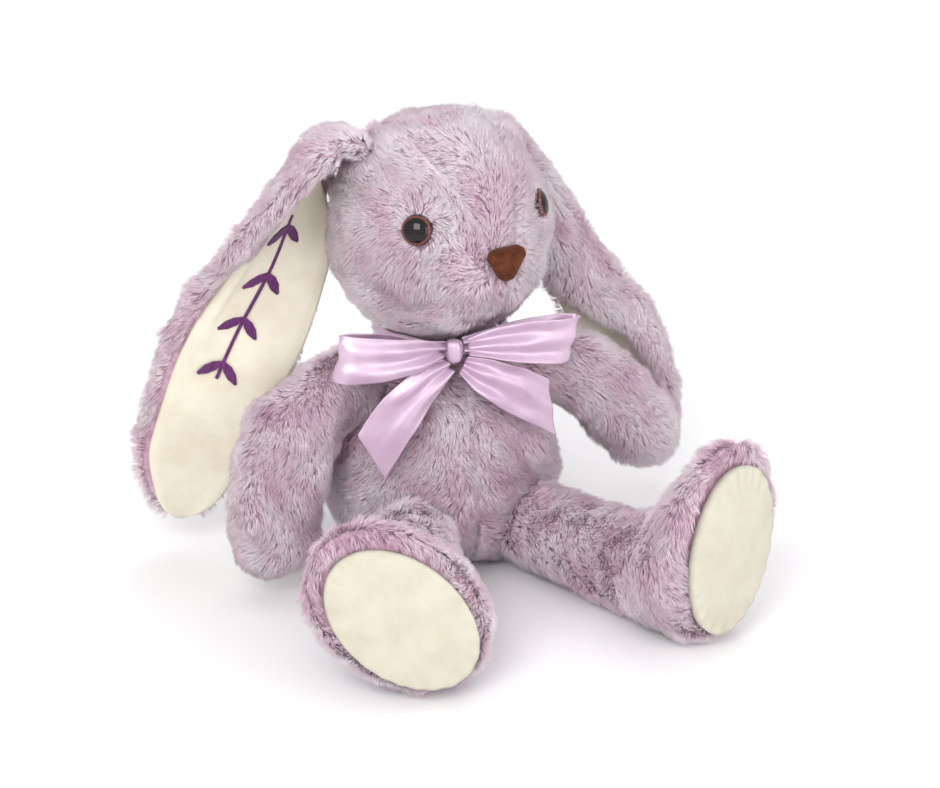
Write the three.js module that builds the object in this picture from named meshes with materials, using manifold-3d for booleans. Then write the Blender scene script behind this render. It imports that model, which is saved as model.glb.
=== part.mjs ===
// A seated plush rabbit with long drooping ears and a satin bow at its neck.
//
// Millimetres, +Z up. The rabbit faces -Y, its own right side is -X and its left side is +X.
// It is drawn around the middle of its seat, and ORIGIN then moves it so that the origin is the
// centre of the whole toy's footprint, on the surface it sits on.
//
// Every stuffed part is a cover of pile fabric, cut into the panels that are sewn together,
// around its own piece of stuffing. GAP is the clearance left between neighbouring pieces.

import * as THREE from 'three';
import * as BufferGeometryUtils from 'three/addons/utils/BufferGeometryUtils.js';
import Module from 'manifold-3d';

const wasm = await Module();
wasm.setup();

// ---------------------------------------------------------------- driving dimensions

const GAP = 0.3;
const FILL_GAP = 1;
const PLUSH = 6;
const ORIGIN = new THREE.Vector3(2.6, 45.1, 0);
const SIDES = 14;

const TORSO = { low: -7, high: 122, halfWidth: 61, halfDepth: 58, taper: 0.3, fullness: 0.85 };
const HEAD = { low: -58, high: 60, halfWidth: 58, halfDepth: 58, taper: 0.06, fullness: 0.94 };
const HEAD_AT = new THREE.Vector3(-2, -4, 178);
const HEAD_TURN = THREE.MathUtils.degToRad(14);
const NECK_CLEARANCE = 0.8;
const MUZZLE = { at: new THREE.Vector3(0, -41, -15), size: new THREE.Vector3(28, 20, 20) };
const GUSSET = {
  crown: 19, crownFront: -15, crownBack: 20,
  nose: 7, noseFront: -58, noseHeight: -14,
  nape: 13, napeBack: 50, napeHeight: -46,
  reach: 90,
};

const EYE = { turn: 44.5, lift: 14.5, seat: 53.6, radius: 8, height: 4.2, post: 2, postLength: 14 };
const WASHER = { radius: 8, thick: 1.5, depth: 7 };
const NOSE = { width: 21, height: 16, thick: 3, bevel: 1.5, seat: 57, lift: -4 };

const EAR_THICK = 8;
const EAR_TIP = 36;
const LINING_START = 36;
const LINING_THICK = 2;
const LAYER_GAP = 2;
const EAR_SOCKET = { radius: 9, halfLength: 15, dent: 115, clearance: 6 };
const SHOULDER = new THREE.Vector3(51, -6, 98);
const ARM = { rootRadius: 20, socketClearance: 3 };
const LEG = { hip: new THREE.Vector3(34, -48, 25), radius: 23, length: 128, thigh: 45 };
const FOOT_EDGE = 9;
const SOLE = { toe: 44, side: 28, thick: 3, drop: 5 };
const SOCKET_CLEARANCE = 2;
const TAIL = { at: new THREE.Vector3(0, 70, 24), radius: 20, cover: 6 };
const PELLETS = { at: new THREE.Vector3(0, 4, 22), size: new THREE.Vector3(36, 32, 13) };
const BAND = { radius: 33, height: 12, thick: 2.5, at: 121 };
const RIBBON = { thick: 1.2 };
const THREAD_THICK = 0.8;

const COLOURS = {
  plush: '#cdb7c6',
  plushDeep: '#b997ab',
  lining: '#ece6d4',
  thread: '#5b1a5e',
  ribbon: '#d9bfd9',
  nose: '#4a2418',
  iris: '#4a2a16',
  black: '#141013',
  clear: '#3a3236',
  washer: '#e9e9e4',
  stuffing: '#f4f3ee',
  pellets: '#d8d4c8',
};

const X = new THREE.Vector3(1, 0, 0);
const Y = new THREE.Vector3(0, 1, 0);
const Z = new THREE.Vector3(0, 0, 1);
const HUGE = 400;

// ---------------------------------------------------------------- closed bodies

function toSolid(geometry) {
  const bare = geometry.clone();
  bare.deleteAttribute('normal');
  bare.deleteAttribute('uv');
  const merged = BufferGeometryUtils.mergeVertices(bare, 1e-4);
  return new wasm.Manifold(new wasm.Mesh({
    numProp: 3,
    vertProperties: new Float32Array(merged.attributes.position.array),
    triVerts: new Uint32Array(merged.index.array),
  }));
}

function toGeometry(solid) {
  const mesh = solid.getMesh();
  const geometry = new THREE.BufferGeometry();
  geometry.setAttribute('position', new THREE.BufferAttribute(new Float32Array(mesh.vertProperties), 3));
  geometry.setIndex(new THREE.BufferAttribute(new Uint32Array(mesh.triVerts), 1));
  geometry.computeVertexNormals();
  return geometry;
}

function indexedSolid(points, index) {
  const geometry = new THREE.BufferGeometry();
  geometry.setFromPoints(points);
  geometry.setIndex(index);
  return toSolid(geometry);
}

// A closed body from rings of points. The rings run forward, and each turns anticlockwise about
// the forward direction. The first and last are single points: poles, or centres of flat ends.
function loft(rings) {
  const points = rings.flat();
  const index = [];
  let start = 0;
  for (let r = 0; r < rings.length - 1; r += 1) {
    const [here, next] = [rings[r].length, rings[r + 1].length];
    const count = Math.max(here, next);
    for (let i = 0; i < count; i += 1) {
      const j = (i + 1) % count;
      const [a, b] = here === 1 ? [start, start] : [start + i, start + j];
      const [c, d] = next === 1 ? [start + here, start + here] : [start + here + i, start + here + j];
      if (here > 1) index.push(a, b, d);
      if (next > 1) index.push(a, d, c);
    }
    start += here;
  }
  return indexedSolid(points, index);
}

function ellipseRing(centre, across, up, a, b) {
  if (Math.min(a, b) < 1e-6) return [centre.clone()];
  return Array.from({ length: SIDES }, (_, i) => {
    const turn = (2 * Math.PI * i) / SIDES;
    return centre.clone()
      .addScaledVector(across, a * Math.cos(turn))
      .addScaledVector(up, b * Math.sin(turn));
  });
}

// From -1 to 1 in cosine steps, which crowd together at a body's rounded ends.
function rises(steps) {
  return Array.from({ length: steps + 1 }, (_, k) => -Math.cos((Math.PI * k) / steps));
}

// An egg or pear standing on Z. inset makes the same shape that much smaller all round.
function egg(shape, inset = 0, steps = 9) {
  const low = shape.low + inset;
  const high = shape.high - inset;
  return loft(rises(steps).map((rise, k) => {
    const round = k === 0 || k === steps ? 0 : (1 - rise * rise) ** (shape.fullness / 2);
    const size = round * (1 - shape.taper * rise);
    const centre = new THREE.Vector3(0, 0, low + ((high - low) * (1 + rise)) / 2);
    const [a, b] = [shape.halfWidth - inset, shape.halfDepth - inset];
    return ellipseRing(centre, X, Y, a * size, b * size);
  }));
}

function ellipsoid(centre, size, inset = 0, steps = 7) {
  return loft(rises(steps).map((rise, k) => {
    const round = k === 0 || k === steps ? 0 : Math.sqrt(1 - rise * rise);
    const middle = centre.clone().addScaledVector(Z, (size.z - inset) * rise);
    return ellipseRing(middle, X, Y, (size.x - inset) * round, (size.y - inset) * round);
  }));
}

function ball(centre, radius, steps = 6) {
  return ellipsoid(centre, new THREE.Vector3(radius, radius, radius), 0, steps);
}

function box(low, high) {
  const geometry = new THREE.BoxGeometry(...low.map((value, i) => high[i] - value));
  geometry.translate(...low.map((value, i) => (value + high[i]) / 2));
  return toSolid(geometry);
}

function prism(outline, low, high) {
  const shape = new THREE.Shape(outline.map(([x, y]) => new THREE.Vector2(x, y)));
  const geometry = new THREE.ExtrudeGeometry(shape, { depth: high - low, bevelEnabled: false });
  geometry.translate(0, 0, low);
  return toSolid(geometry);
}

// A body turned about Z, from an outline of [radius, height] that starts and ends on the axis,
// or closes on itself, and runs anticlockwise seen with the radius to the right.
function turned(outline, sides = 12) {
  const geometry = new THREE.LatheGeometry(outline.map(([r, h]) => new THREE.Vector2(r, h)), sides);
  geometry.rotateX(Math.PI / 2);
  return toSolid(geometry);
}

function rod(radius, low, high) {
  return turned([[0, low], [radius, low], [radius, high], [0, high]]);
}

function placed(solid, matrix) {
  return solid.transform(matrix.elements);
}

// Reads a table of [distance, value, value...] rows, with smooth steps between them.
function along(table, distance) {
  const next = table.findIndex((row) => row[0] >= distance);
  if (next < 0) return table.at(-1).slice(1);
  if (next === 0) return table[0].slice(1);
  const [from, to] = [table[next - 1], table[next]];
  const part = THREE.MathUtils.smoothstep(distance, from[0], to[0]);
  return from.slice(1).map((value, i) => THREE.MathUtils.lerp(value, to[i + 1], part));
}

// The two halves of a shell on either side of the plane x = 0 of its own frame: [-X, +X].
function halves(shell) {
  const split = GAP / 2;
  return [
    shell.intersect(box([-HUGE, -HUGE, -HUGE], [-split, HUGE, HUGE])),
    shell.intersect(box([split, -HUGE, -HUGE], [HUGE, HUGE, HUGE])),
  ];
}

// ---------------------------------------------------------------- the model and its nodes

const rabbit = new THREE.Group();
rabbit.position.copy(ORIGIN);

function addMesh(parent, name, solid, color, roughness = 0.95) {
  const material = new THREE.MeshStandardMaterial({ color, roughness, metalness: 0 });
  const mesh = new THREE.Mesh(toGeometry(solid), material);
  mesh.name = name;
  parent.add(mesh);
}

function addGroup(position, basis = null) {
  const group = new THREE.Group();
  group.position.copy(position);
  if (basis) group.quaternion.setFromRotationMatrix(basis);
  group.updateMatrix();
  rabbit.add(group);
  return group;
}

// ---------------------------------------------------------------- legs

// A leg lies along its own +Z from hip to sole, and its toe points to its own +Y.
// Rows: distance from the hip, half size towards the toe, half size sideways, shift to the toe.
const LEG_ROWS = [
  [0, 23, 23, 0],
  [50, 23.5, 24, 0],
  [78, 26, 27, 1],
  [94, 34, 32, 9],
  [107, 46, 36, 21],
  [118, 54, 38.5, 29],
  [128, 57, 38.5, 32],
];

function legBody(inset) {
  const start = inset - LEG.radius;
  const end = LEG.length - inset;
  const shift = (distance) => along(LEG_ROWS, distance)[2];
  const rings = rises(11).map((rise, k) => {
    const distance = start + ((end - start) * (1 + rise)) / 2;
    const [toe, side] = along(LEG_ROWS, distance);
    const fromHip = Math.min((distance - start) / (LEG.radius - inset), 1);
    const fromSole = Math.min((end - distance) / FOOT_EDGE, 1);
    const hipRound = k === 0 ? 0 : Math.sqrt(1 - (1 - fromHip) ** 2);
    const soleRound = 1 - 0.15 * (1 - Math.sqrt(1 - (1 - fromSole) ** 2));
    const size = hipRound * soleRound;
    const centre = new THREE.Vector3(0, shift(distance), distance);
    return ellipseRing(centre, X, Y, (side - inset) * size, (toe - inset) * size);
  });
  rings.push([new THREE.Vector3(0, shift(end), end)]);
  return loft(rings);
}

function soleDisc() {
  const shift = LEG_ROWS.at(-1)[3] - SOLE.drop;
  const rows = [[0, 0], [0, 1], [0.5, 1], [1, 0.94], [1, 0]];
  return loft(rows.map(([up, size]) => {
    const centre = new THREE.Vector3(0, shift, LEG.length + GAP + up * SOLE.thick);
    return ellipseRing(centre, X, Y, SOLE.side * size, SOLE.toe * size);
  }));
}

// splay turns the leg outward and roll tips the toe outward, in degrees. lift raises the hip so
// that the foot just rests on the ground.
const LEGS = [
  { name: 'right', side: -1, splay: 12, roll: 44, lift: 1.5 },
  { name: 'left', side: 1, splay: 24, roll: 9, lift: 0.1 },
];

function legBasis({ side, splay, roll }) {
  const away = THREE.MathUtils.degToRad(splay);
  const forward = new THREE.Vector3(side * Math.sin(away), -Math.cos(away), 0);
  const toe = Z.clone().applyAxisAngle(forward, -side * THREE.MathUtils.degToRad(roll));
  const across = toe.clone().cross(forward);
  return new THREE.Matrix4().makeBasis(across, toe, forward);
}

function hipOf({ side, lift }) {
  return new THREE.Vector3(side * LEG.hip.x, LEG.hip.y, LEG.hip.z + lift);
}

for (const leg of LEGS) {
  const group = addGroup(hipOf(leg), legBasis(leg));
  const [low, high] = halves(legBody(0).subtract(legBody(PLUSH)));
  const outerIsLow = leg.side > 0;
  addMesh(group, `leg_${leg.name}_outer`, outerIsLow ? low : high, COLOURS.plush);
  addMesh(group, `leg_${leg.name}_inner`, outerIsLow ? high : low, COLOURS.plushDeep);
  addMesh(group, `leg_${leg.name}_stuffing`, legBody(PLUSH + FILL_GAP), COLOURS.stuffing);
  addMesh(group, `leg_${leg.name}_sole`, soleDisc(), COLOURS.lining);
}

// ---------------------------------------------------------------- arms

// Each arm follows a slightly bent line from the shoulder, given as offsets from the shoulder.
const ARMS = [
  {
    name: 'right',
    side: -1,
    radius: 25.5,
    hand: 24,
    line: [[0, 0, 0], [-28, -7, -12], [-44.5, -17, -38], [-49, -26, -68], [-47, -29, -88]],
  },
  {
    name: 'left',
    side: 1,
    radius: 22,
    hand: 21,
    line: [[0, 0, 0], [26, -3, -9.5], [43, -8, -27], [57, -13, -46], [66, -16, -60]],
  },
];

function shoulderOf({ side }) {
  return new THREE.Vector3(side * SHOULDER.x, SHOULDER.y, SHOULDER.z);
}

const ARM_STEPS = 9;

function armBody({ line, radius, hand }, inset) {
  const path = new THREE.CatmullRomCurve3(line.map((point) => new THREE.Vector3(...point)));
  const length = path.getLength();
  const backwards = path.getTangentAt(0).multiplyScalar(-ARM.rootRadius);
  const start = inset - ARM.rootRadius;
  const end = length - inset;
  const rows = [[0, ARM.rootRadius], [length * 0.45, radius], [length - hand, hand]];
  return loft(rises(ARM_STEPS).map((rise, k) => {
    const distance = start + ((end - start) * (1 + rise)) / 2;
    const spot = THREE.MathUtils.clamp(distance / length, 0, 1);
    const centre = path.getPointAt(spot);
    if (distance < 0) centre.addScaledVector(backwards, -distance / ARM.rootRadius);
    const forward = path.getTangentAt(spot);
    const across = X.clone().addScaledVector(forward, -forward.x).normalize();
    const up = forward.clone().cross(across);
    const fromRoot = Math.min((distance - start) / (ARM.rootRadius - inset), 1);
    const fromHand = Math.min((end - distance) / (hand - inset), 1);
    const isEnd = k === 0 || k === ARM_STEPS;
    const round = isEnd ? 0 : Math.sqrt(1 - (1 - fromRoot) ** 2) * Math.sqrt(1 - (1 - fromHand) ** 2);
    const size = (along(rows, distance)[0] - inset) * round;
    return ellipseRing(centre, across, up, size, size);
  }));
}

// The seam plane of an arm holds its shoulder, its hand and the front-to-back direction.
function armSeam({ line, side }) {
  const hand = new THREE.Vector3(...line.at(-1)).setY(0).normalize();
  const outward = new THREE.Vector3(-side * hand.z, 0, side * hand.x);
  return new THREE.Matrix4().makeBasis(outward, Y, outward.clone().cross(Y));
}

for (const arm of ARMS) {
  const group = addGroup(shoulderOf(arm));
  const seam = armSeam(arm);
  const shell = placed(armBody(arm, 0).subtract(armBody(arm, PLUSH)), seam.clone().invert());
  const [inner, outer] = halves(shell);
  addMesh(group, `arm_${arm.name}_outer`, placed(outer, seam), COLOURS.plush);
  addMesh(group, `arm_${arm.name}_inner`, placed(inner, seam), COLOURS.plushDeep);
  addMesh(group, `arm_${arm.name}_stuffing`, armBody(arm, PLUSH + FILL_GAP), COLOURS.stuffing);
}

// ---------------------------------------------------------------- torso

const headFrame = new THREE.Matrix4().makeRotationZ(HEAD_TURN).setPosition(HEAD_AT);
const aboveSeat = box([-HUGE, -HUGE, 0], [HUGE, HUGE, HUGE]);

// The room that a thigh needs when its leg is lifted as far as it goes.
const LEG_LIFT = THREE.MathUtils.degToRad(30);

function liftedThigh(leg, clearance) {
  const lifted = new THREE.Matrix4().makeRotationX(-LEG_LIFT).multiply(legBasis(leg));
  const radius = LEG.radius + clearance / 2;
  const ends = [new THREE.Vector3(), Z.clone().multiplyScalar(LEG.thigh)];
  const rings = ends.map((end) => ellipseRing(end, X, Y, radius, radius));
  const thigh = loft([[ends[0]], ...rings, [ends[1]]]);
  return placed(thigh, lifted.setPosition(hipOf(leg)));
}

// Everything that is sewn on to the torso sits in a shallow hollow of its own shape.
function sockets(clearance) {
  let hollow = placed(egg(HEAD, -clearance), headFrame);
  LEGS.forEach((leg) => {
    hollow = hollow.add(ball(hipOf(leg), LEG.radius + clearance)).add(liftedThigh(leg, clearance));
  });
  ARMS.forEach((arm) => {
    hollow = hollow.add(ball(shoulderOf(arm), ARM.rootRadius + ARM.socketClearance));
  });
  return hollow;
}

// The bag lies in a well of the stuffing that is open underneath.
function pelletWell() {
  const below = PELLETS.at.clone().addScaledVector(Z, -PELLETS.size.z);
  return ellipsoid(PELLETS.at, PELLETS.size, -GAP).add(ellipsoid(below, PELLETS.size, -GAP));
}

const torsoShell = egg(TORSO).intersect(aboveSeat)
  .subtract(egg(TORSO, PLUSH).intersect(aboveSeat.translate(0, 0, PLUSH)))
  .subtract(sockets(SOCKET_CLEARANCE));

const QUARTERS = [
  ['torso_front_right', -1, -1, COLOURS.plush],
  ['torso_front_left', 1, -1, COLOURS.plush],
  ['torso_back_right', -1, 1, COLOURS.plushDeep],
  ['torso_back_left', 1, 1, COLOURS.plushDeep],
];
QUARTERS.forEach(([name, sideX, sideY, colour]) => {
  const [x, y] = [sideX, sideY].map((side) => (side > 0 ? [GAP / 2, HUGE] : [-HUGE, -GAP / 2]));
  const quarter = box([x[0], y[0], -HUGE], [x[1], y[1], HUGE]);
  addMesh(rabbit, name, torsoShell.intersect(quarter), colour);
});

const aboveLining = aboveSeat.translate(0, 0, PLUSH + GAP);
const torsoStuffing = egg(TORSO, PLUSH + FILL_GAP)
  .intersect(aboveLining)
  .subtract(sockets(SOCKET_CLEARANCE))
  .subtract(pelletWell());
addMesh(rabbit, 'torso_stuffing', torsoStuffing, COLOURS.stuffing);
const pelletBag = ellipsoid(PELLETS.at, PELLETS.size).intersect(aboveLining);
addMesh(rabbit, 'seat_pellet_bag', pelletBag, COLOURS.pellets);

// ---------------------------------------------------------------- tail

const besideTorso = egg(TORSO, -GAP);
const tailCover = ball(TAIL.at, TAIL.radius).subtract(ball(TAIL.at, TAIL.radius - TAIL.cover));
const tailStuffing = ball(TAIL.at, TAIL.radius - TAIL.cover - FILL_GAP);
addMesh(rabbit, 'tail_cover', tailCover.subtract(besideTorso), COLOURS.plush);
addMesh(rabbit, 'tail_stuffing', tailStuffing.subtract(besideTorso), COLOURS.stuffing);

// ---------------------------------------------------------------- face

// A frame on the head whose +Z looks outward, turned and lifted in degrees from straight ahead.
function faceFrame(turn, lift, distance) {
  const [t, l] = [THREE.MathUtils.degToRad(turn), THREE.MathUtils.degToRad(lift)];
  const out = new THREE.Vector3(Math.sin(t) * Math.cos(l), -Math.cos(t) * Math.cos(l), Math.sin(l));
  const across = new THREE.Vector3(Math.cos(t), Math.sin(t), 0);
  const frame = new THREE.Matrix4().makeBasis(across, out.clone().cross(across), out);
  return frame.setPosition(out.clone().multiplyScalar(distance));
}

const EYES = [
  { name: 'right', frame: faceFrame(-EYE.turn, EYE.lift, EYE.seat) },
  { name: 'left', frame: faceFrame(EYE.turn, EYE.lift, EYE.seat) },
];

// The eye's layers, measured outward from its seat on the fabric.
const EYE_BACK = [GAP, GAP + 1.2];
const EYE_IRIS = [EYE_BACK[1] + GAP, EYE_BACK[1] + GAP + 0.8];
const EYE_WALL = 0.9;

function domeOutline(radius, height, base, steps = 3) {
  return Array.from({ length: steps + 1 }, (_, i) => {
    const turn = (Math.PI / 2) * (i / steps);
    return [i === steps ? 0 : radius * Math.cos(turn), base + height * Math.sin(turn)];
  });
}

function eyeCap() {
  const inside = domeOutline(EYE.radius - EYE_WALL, EYE.height - EYE_WALL, EYE_IRIS[0]).reverse();
  return turned([...inside, ...domeOutline(EYE.radius, EYE.height, EYE_IRIS[0])]);
}

function eyePost() {
  const flange = [[EYE.radius, EYE_BACK[0]], [EYE.radius, EYE_BACK[1]], [0, EYE_BACK[1]]];
  return turned([[0, -EYE.postLength], [EYE.post, -EYE.postLength], [EYE.post, EYE_BACK[0]], ...flange]);
}

function washer() {
  const [low, high] = [-WASHER.depth - WASHER.thick, -WASHER.depth];
  return rod(WASHER.radius, low, high).subtract(rod(EYE.post + GAP, low - 1, high + 1));
}

const noseFrame = faceFrame(0, 0, NOSE.seat)
  .premultiply(new THREE.Matrix4().makeTranslation(0, 0, NOSE.lift));

// A rounded triangle, wide at the top and pointed at the bottom, grown by margin all round.
function nosePad(margin, low, thick, bevel) {
  const [w, h] = [NOSE.width / 2 - NOSE.bevel, NOSE.height / 2 - NOSE.bevel];
  const shape = new THREE.Shape();
  shape.moveTo(-w * 0.3, -h);
  shape.quadraticCurveTo(0, -h * 1.25, w * 0.3, -h);
  shape.lineTo(w, h * 0.5);
  shape.quadraticCurveTo(w, h, w * 0.6, h);
  shape.lineTo(-w * 0.6, h);
  shape.quadraticCurveTo(-w, h, -w, h * 0.5);
  shape.closePath();
  const geometry = new THREE.ExtrudeGeometry(shape, {
    depth: thick, curveSegments: 4, bevelSegments: 2, bevelThickness: bevel, bevelSize: NOSE.bevel + margin,
  });
  geometry.translate(0, 0, low + bevel);
  return toSolid(geometry);
}

// ---------------------------------------------------------------- ears

// An ear is a strip of fabric that follows a line from its root, curled lengthwise.
// line: offsets from the root. furSide: the way the pile side looks at each point of the line.
// rows: distance, half widths on both sides of the line, and how far each side curls, in degrees.
// The first side curls evenly. The second curls only as far as its fold, and is straight past it.
const EARS = [
  {
    name: 'right',
    root: new THREE.Vector3(-38, -2, 221),
    line: [
      [0, 0, 0], [-12, 0, 10], [-27, 3, 7], [-43, 9, -22], [-54, 18, -58],
      [-67, 27, -92], [-80, 33, -128], [-90, 38, -164], [-95, 41, -203],
    ],
    furSide: [
      [-0.3, 0, 1], [-0.2, 0.1, 1], [-0.5, 0.3, 0.8], [-0.6, 0.7, 0.4], [-0.3, 0.95, 0.1],
      [0.1, 1, 0.1], [0.25, 1, 0], [0.25, 1, 0], [0.25, 1, 0],
    ],
    rows: [
      [0, 10, 12, 15, 15, 12], [14, 17, 18, 28, 32, 18], [32, 28, 30, 36, 46, 30],
      [58, 33, 34, 36, 40, 34], [95, 38, 33, 26, 22, 33], [140, 40, 30, 18, 16, 30],
      [185, 36, 27, 14, 12, 27], [215, 31, 27, 12, 12, 27], [240, 27, 24, 12, 12, 24],
    ],
    liningMargin: [2, 10],
  },
  {
    name: 'left',
    root: new THREE.Vector3(30.5, 6, 221),
    line: [
      [0, 0, 0], [12.5, 4, -5], [24, 10, -20.5], [38, 10, -39], [53.5, 11, -63.5], [68.5, 10, -85.5],
      [85.5, 11, -105.5], [100, 13, -125], [108, 15, -145], [112.5, 16, -165], [113.5, 18, -183],
      [112.5, 20, -200],
    ],
    furSide: [
      [-0.07, -0.48, 0.88], [0.15, -0.6, 0.79], [0.27, -0.69, 0.67], [0.29, -0.7, 0.65],
      [0.29, -0.71, 0.64], [0.27, -0.69, 0.68], [0.37, -0.6, 0.71], [0.57, -0.55, 0.61],
      [0.75, -0.53, 0.4], [0.86, -0.47, 0.19], [0.88, -0.47, 0.01], [0.87, -0.5, -0.05],
    ],
    rows: [
      [0, 12, 12, 20, 20, 12], [14, 17, 17, 28, 35, 17], [35, 25, 30, 40, 100, 22],
      [60, 31, 42, 48, 140, 26], [95, 34, 46, 50, 145, 27], [125, 26, 52, 50, 140, 26],
      [150, 19, 56, 50, 128, 24], [185, 16, 50, 45, 112, 22], [215, 14, 44, 40, 105, 20],
      [240, 12, 38, 40, 100, 20],
    ],
    liningMargin: [6, 3],
  },
];

// Gives the point at a distance along the ear, a distance across it and a height to its pile side.
function earSurface({ root, line, furSide, rows }) {
  const path = new THREE.CatmullRomCurve3(line.map((point) => new THREE.Vector3(...point).add(root)));
  const facing = new THREE.CatmullRomCurve3(furSide.map((way) => new THREE.Vector3(...way)));
  const length = path.getLength();
  const at = (distance, across, height) => {
    const spot = THREE.MathUtils.clamp(distance / length, 0, 1);
    const forward = path.getTangentAt(spot);
    const out = facing.getPoint(path.getUtoTmapping(spot));
    out.addScaledVector(forward, -out.dot(forward)).normalize();
    const side = out.clone().cross(forward);
    const [near, , nearCurl, farCurl, fold] = along(rows, distance);
    const bend = THREE.MathUtils.degToRad(across < 0 ? nearCurl / near : farCurl / fold);
    const turn = bend * Math.min(across, fold);
    const straight = Math.max(across - fold, 0);
    const [sine, cosine] = [Math.sin(turn), Math.cos(turn)];
    return path.getPointAt(spot)
      .addScaledVector(side, sine / bend + straight * cosine + height * sine)
      .addScaledVector(out, (cosine - 1) / bend - straight * sine + height * cosine);
  };
  return { at, length };
}

// A closed sheet laid on an ear. edges gives its two edges at a distance along the ear.
function earSheet(surface, from, to, edges, low, high, steps = 16, across = 8) {
  const points = [];
  [high, low].forEach((height) => {
    for (let k = 0; k <= steps; k += 1) {
      const distance = THREE.MathUtils.lerp(from, to, k / steps);
      const [start, end] = edges(distance);
      for (let j = 0; j <= across; j += 1) {
        points.push(surface.at(distance, THREE.MathUtils.lerp(start, end, j / across), height));
      }
    }
  });
  const wide = across + 1;
  const under = (steps + 1) * wide;
  const spot = (k, j) => k * wide + j;
  const index = [];
  const quad = (a, b, c, d) => index.push(a, b, c, a, c, d);
  for (let k = 0; k < steps; k += 1) {
    for (let j = 0; j < across; j += 1) {
      const [a, b, c, d] = [spot(k, j), spot(k + 1, j), spot(k + 1, j + 1), spot(k, j + 1)];
      quad(a, b, c, d);
      quad(under + a, under + d, under + c, under + b);
    }
    quad(spot(k, 0), under + spot(k, 0), under + spot(k + 1, 0), spot(k + 1, 0));
    quad(spot(k + 1, across), under + spot(k + 1, across), under + spot(k, across), spot(k, across));
  }
  for (let j = 0; j < across; j += 1) {
    quad(spot(0, j + 1), under + spot(0, j + 1), under + spot(0, j), spot(0, j));
    quad(spot(steps, j), under + spot(steps, j), under + spot(steps, j + 1), spot(steps, j + 1));
  }
  return indexedSolid(points, index);
}

// How far a lining stays back from the ear's tip.
function tipMargin(margins) {
  return Math.max(...margins) * 0.8;
}

// The ear's half widths, rounded off towards the tip.
function earEdges({ rows }, length, margins = [0, 0], start = 0) {
  return (distance) => {
    const [near, far] = along(rows, distance);
    const end = length - tipMargin(margins);
    const fromTip = THREE.MathUtils.clamp((end - distance) / EAR_TIP, 0, 1);
    const round = Math.max(Math.sqrt(1 - (1 - fromTip) ** 2), 0.12);
    const opened = start ? THREE.MathUtils.smoothstep(distance, start - 12, start + 40) : 1;
    return [-(near - margins[0]) * round * opened, (far - margins[1]) * round * opened];
  };
}

const LINING = [-EAR_THICK / 2 - LAYER_GAP - LINING_THICK, -EAR_THICK / 2 - LAYER_GAP];
const THREAD = [LINING[0] - GAP - THREAD_THICK, LINING[0] - GAP];

// A worked sprig: a stem along the lining with a pair of leaves at each of its joints.
const SPRIG = { from: 74, to: 172, stem: 0.9, leaf: 15, leafHalf: 2.6, pairs: 4, centre: -4, slant: 48 };

function sprig(surface) {
  const { from, to, stem, leaf, leafHalf, pairs, centre } = SPRIG;
  const patch = (start, way, length, halfAt, steps) => earSheet(
    { at: (distance, across, height) => surface.at(
      start[0] + way[0] * distance - way[1] * across,
      start[1] + way[1] * distance + way[0] * across,
      height,
    ) },
    0, length, (distance) => [-halfAt(distance), halfAt(distance)], ...THREAD, steps, 1,
  );
  let whole = patch([from, centre], [1, 0], to - from, () => stem, 10);
  const leafShape = (distance) => leafHalf * Math.sin((Math.PI * (distance + 1)) / (leaf + 2)) + 0.2;
  for (let pair = 0; pair < pairs; pair += 1) {
    const joint = from + 6 + (pair * (to - from - 16)) / (pairs - 1);
    [-1, 1].forEach((side) => {
      const slant = THREE.MathUtils.degToRad(SPRIG.slant);
      const way = [Math.cos(slant), side * Math.sin(slant)];
      whole = whole.add(patch([joint, centre], way, leaf, leafShape, 3));
    });
  }
  return whole;
}

// The hollow that an ear takes in the head: a round socket for its root, and the dent that its
// first stretch presses.
function earHollow(ear) {
  const socket = rod(EAR_SOCKET.radius, -EAR_SOCKET.halfLength, EAR_SOCKET.halfLength);
  const frontToBack = new THREE.Matrix4().makeRotationX(Math.PI / 2).setPosition(ear.root);
  const surface = earSurface(ear);
  const edges = earEdges(ear, surface.length);
  const { dent, clearance } = EAR_SOCKET;
  const grown = (distance) => {
    const [start, end] = edges(distance);
    return [start - clearance, end + clearance];
  };
  const under = LINING[0] - clearance;
  const pressed = earSheet(surface, 0, dent, grown, under, EAR_THICK / 2 + clearance);
  return placed(socket, frontToBack).add(pressed);
}

function earSockets() {
  const intoHead = headFrame.clone().invert();
  return EARS.map((ear) => placed(earHollow(ear), intoHead));
}

for (const ear of EARS) {
  const surface = earSurface(ear);
  const end = surface.length;
  const back = earSheet(surface, 0, end, earEdges(ear, end), -EAR_THICK / 2, EAR_THICK / 2);
  const liningEdges = earEdges(ear, end, ear.liningMargin, LINING_START);
  const liningEnd = end - tipMargin(ear.liningMargin);
  const lining = earSheet(surface, LINING_START, liningEnd, liningEdges, ...LINING);
  addMesh(rabbit, `ear_${ear.name}_back`, back, COLOURS.plush);
  addMesh(rabbit, `ear_${ear.name}_lining`, lining, COLOURS.lining);
  if (ear.name === 'right') addMesh(rabbit, 'ear_right_embroidery', sprig(surface), COLOURS.thread, 0.5);
}

// ---------------------------------------------------------------- head

const head = addGroup(HEAD_AT, new THREE.Matrix4().makeRotationZ(HEAD_TURN));

function headBody(inset) {
  return egg(HEAD, inset).add(ellipsoid(MUZZLE.at, MUZZLE.size, inset));
}

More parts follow.
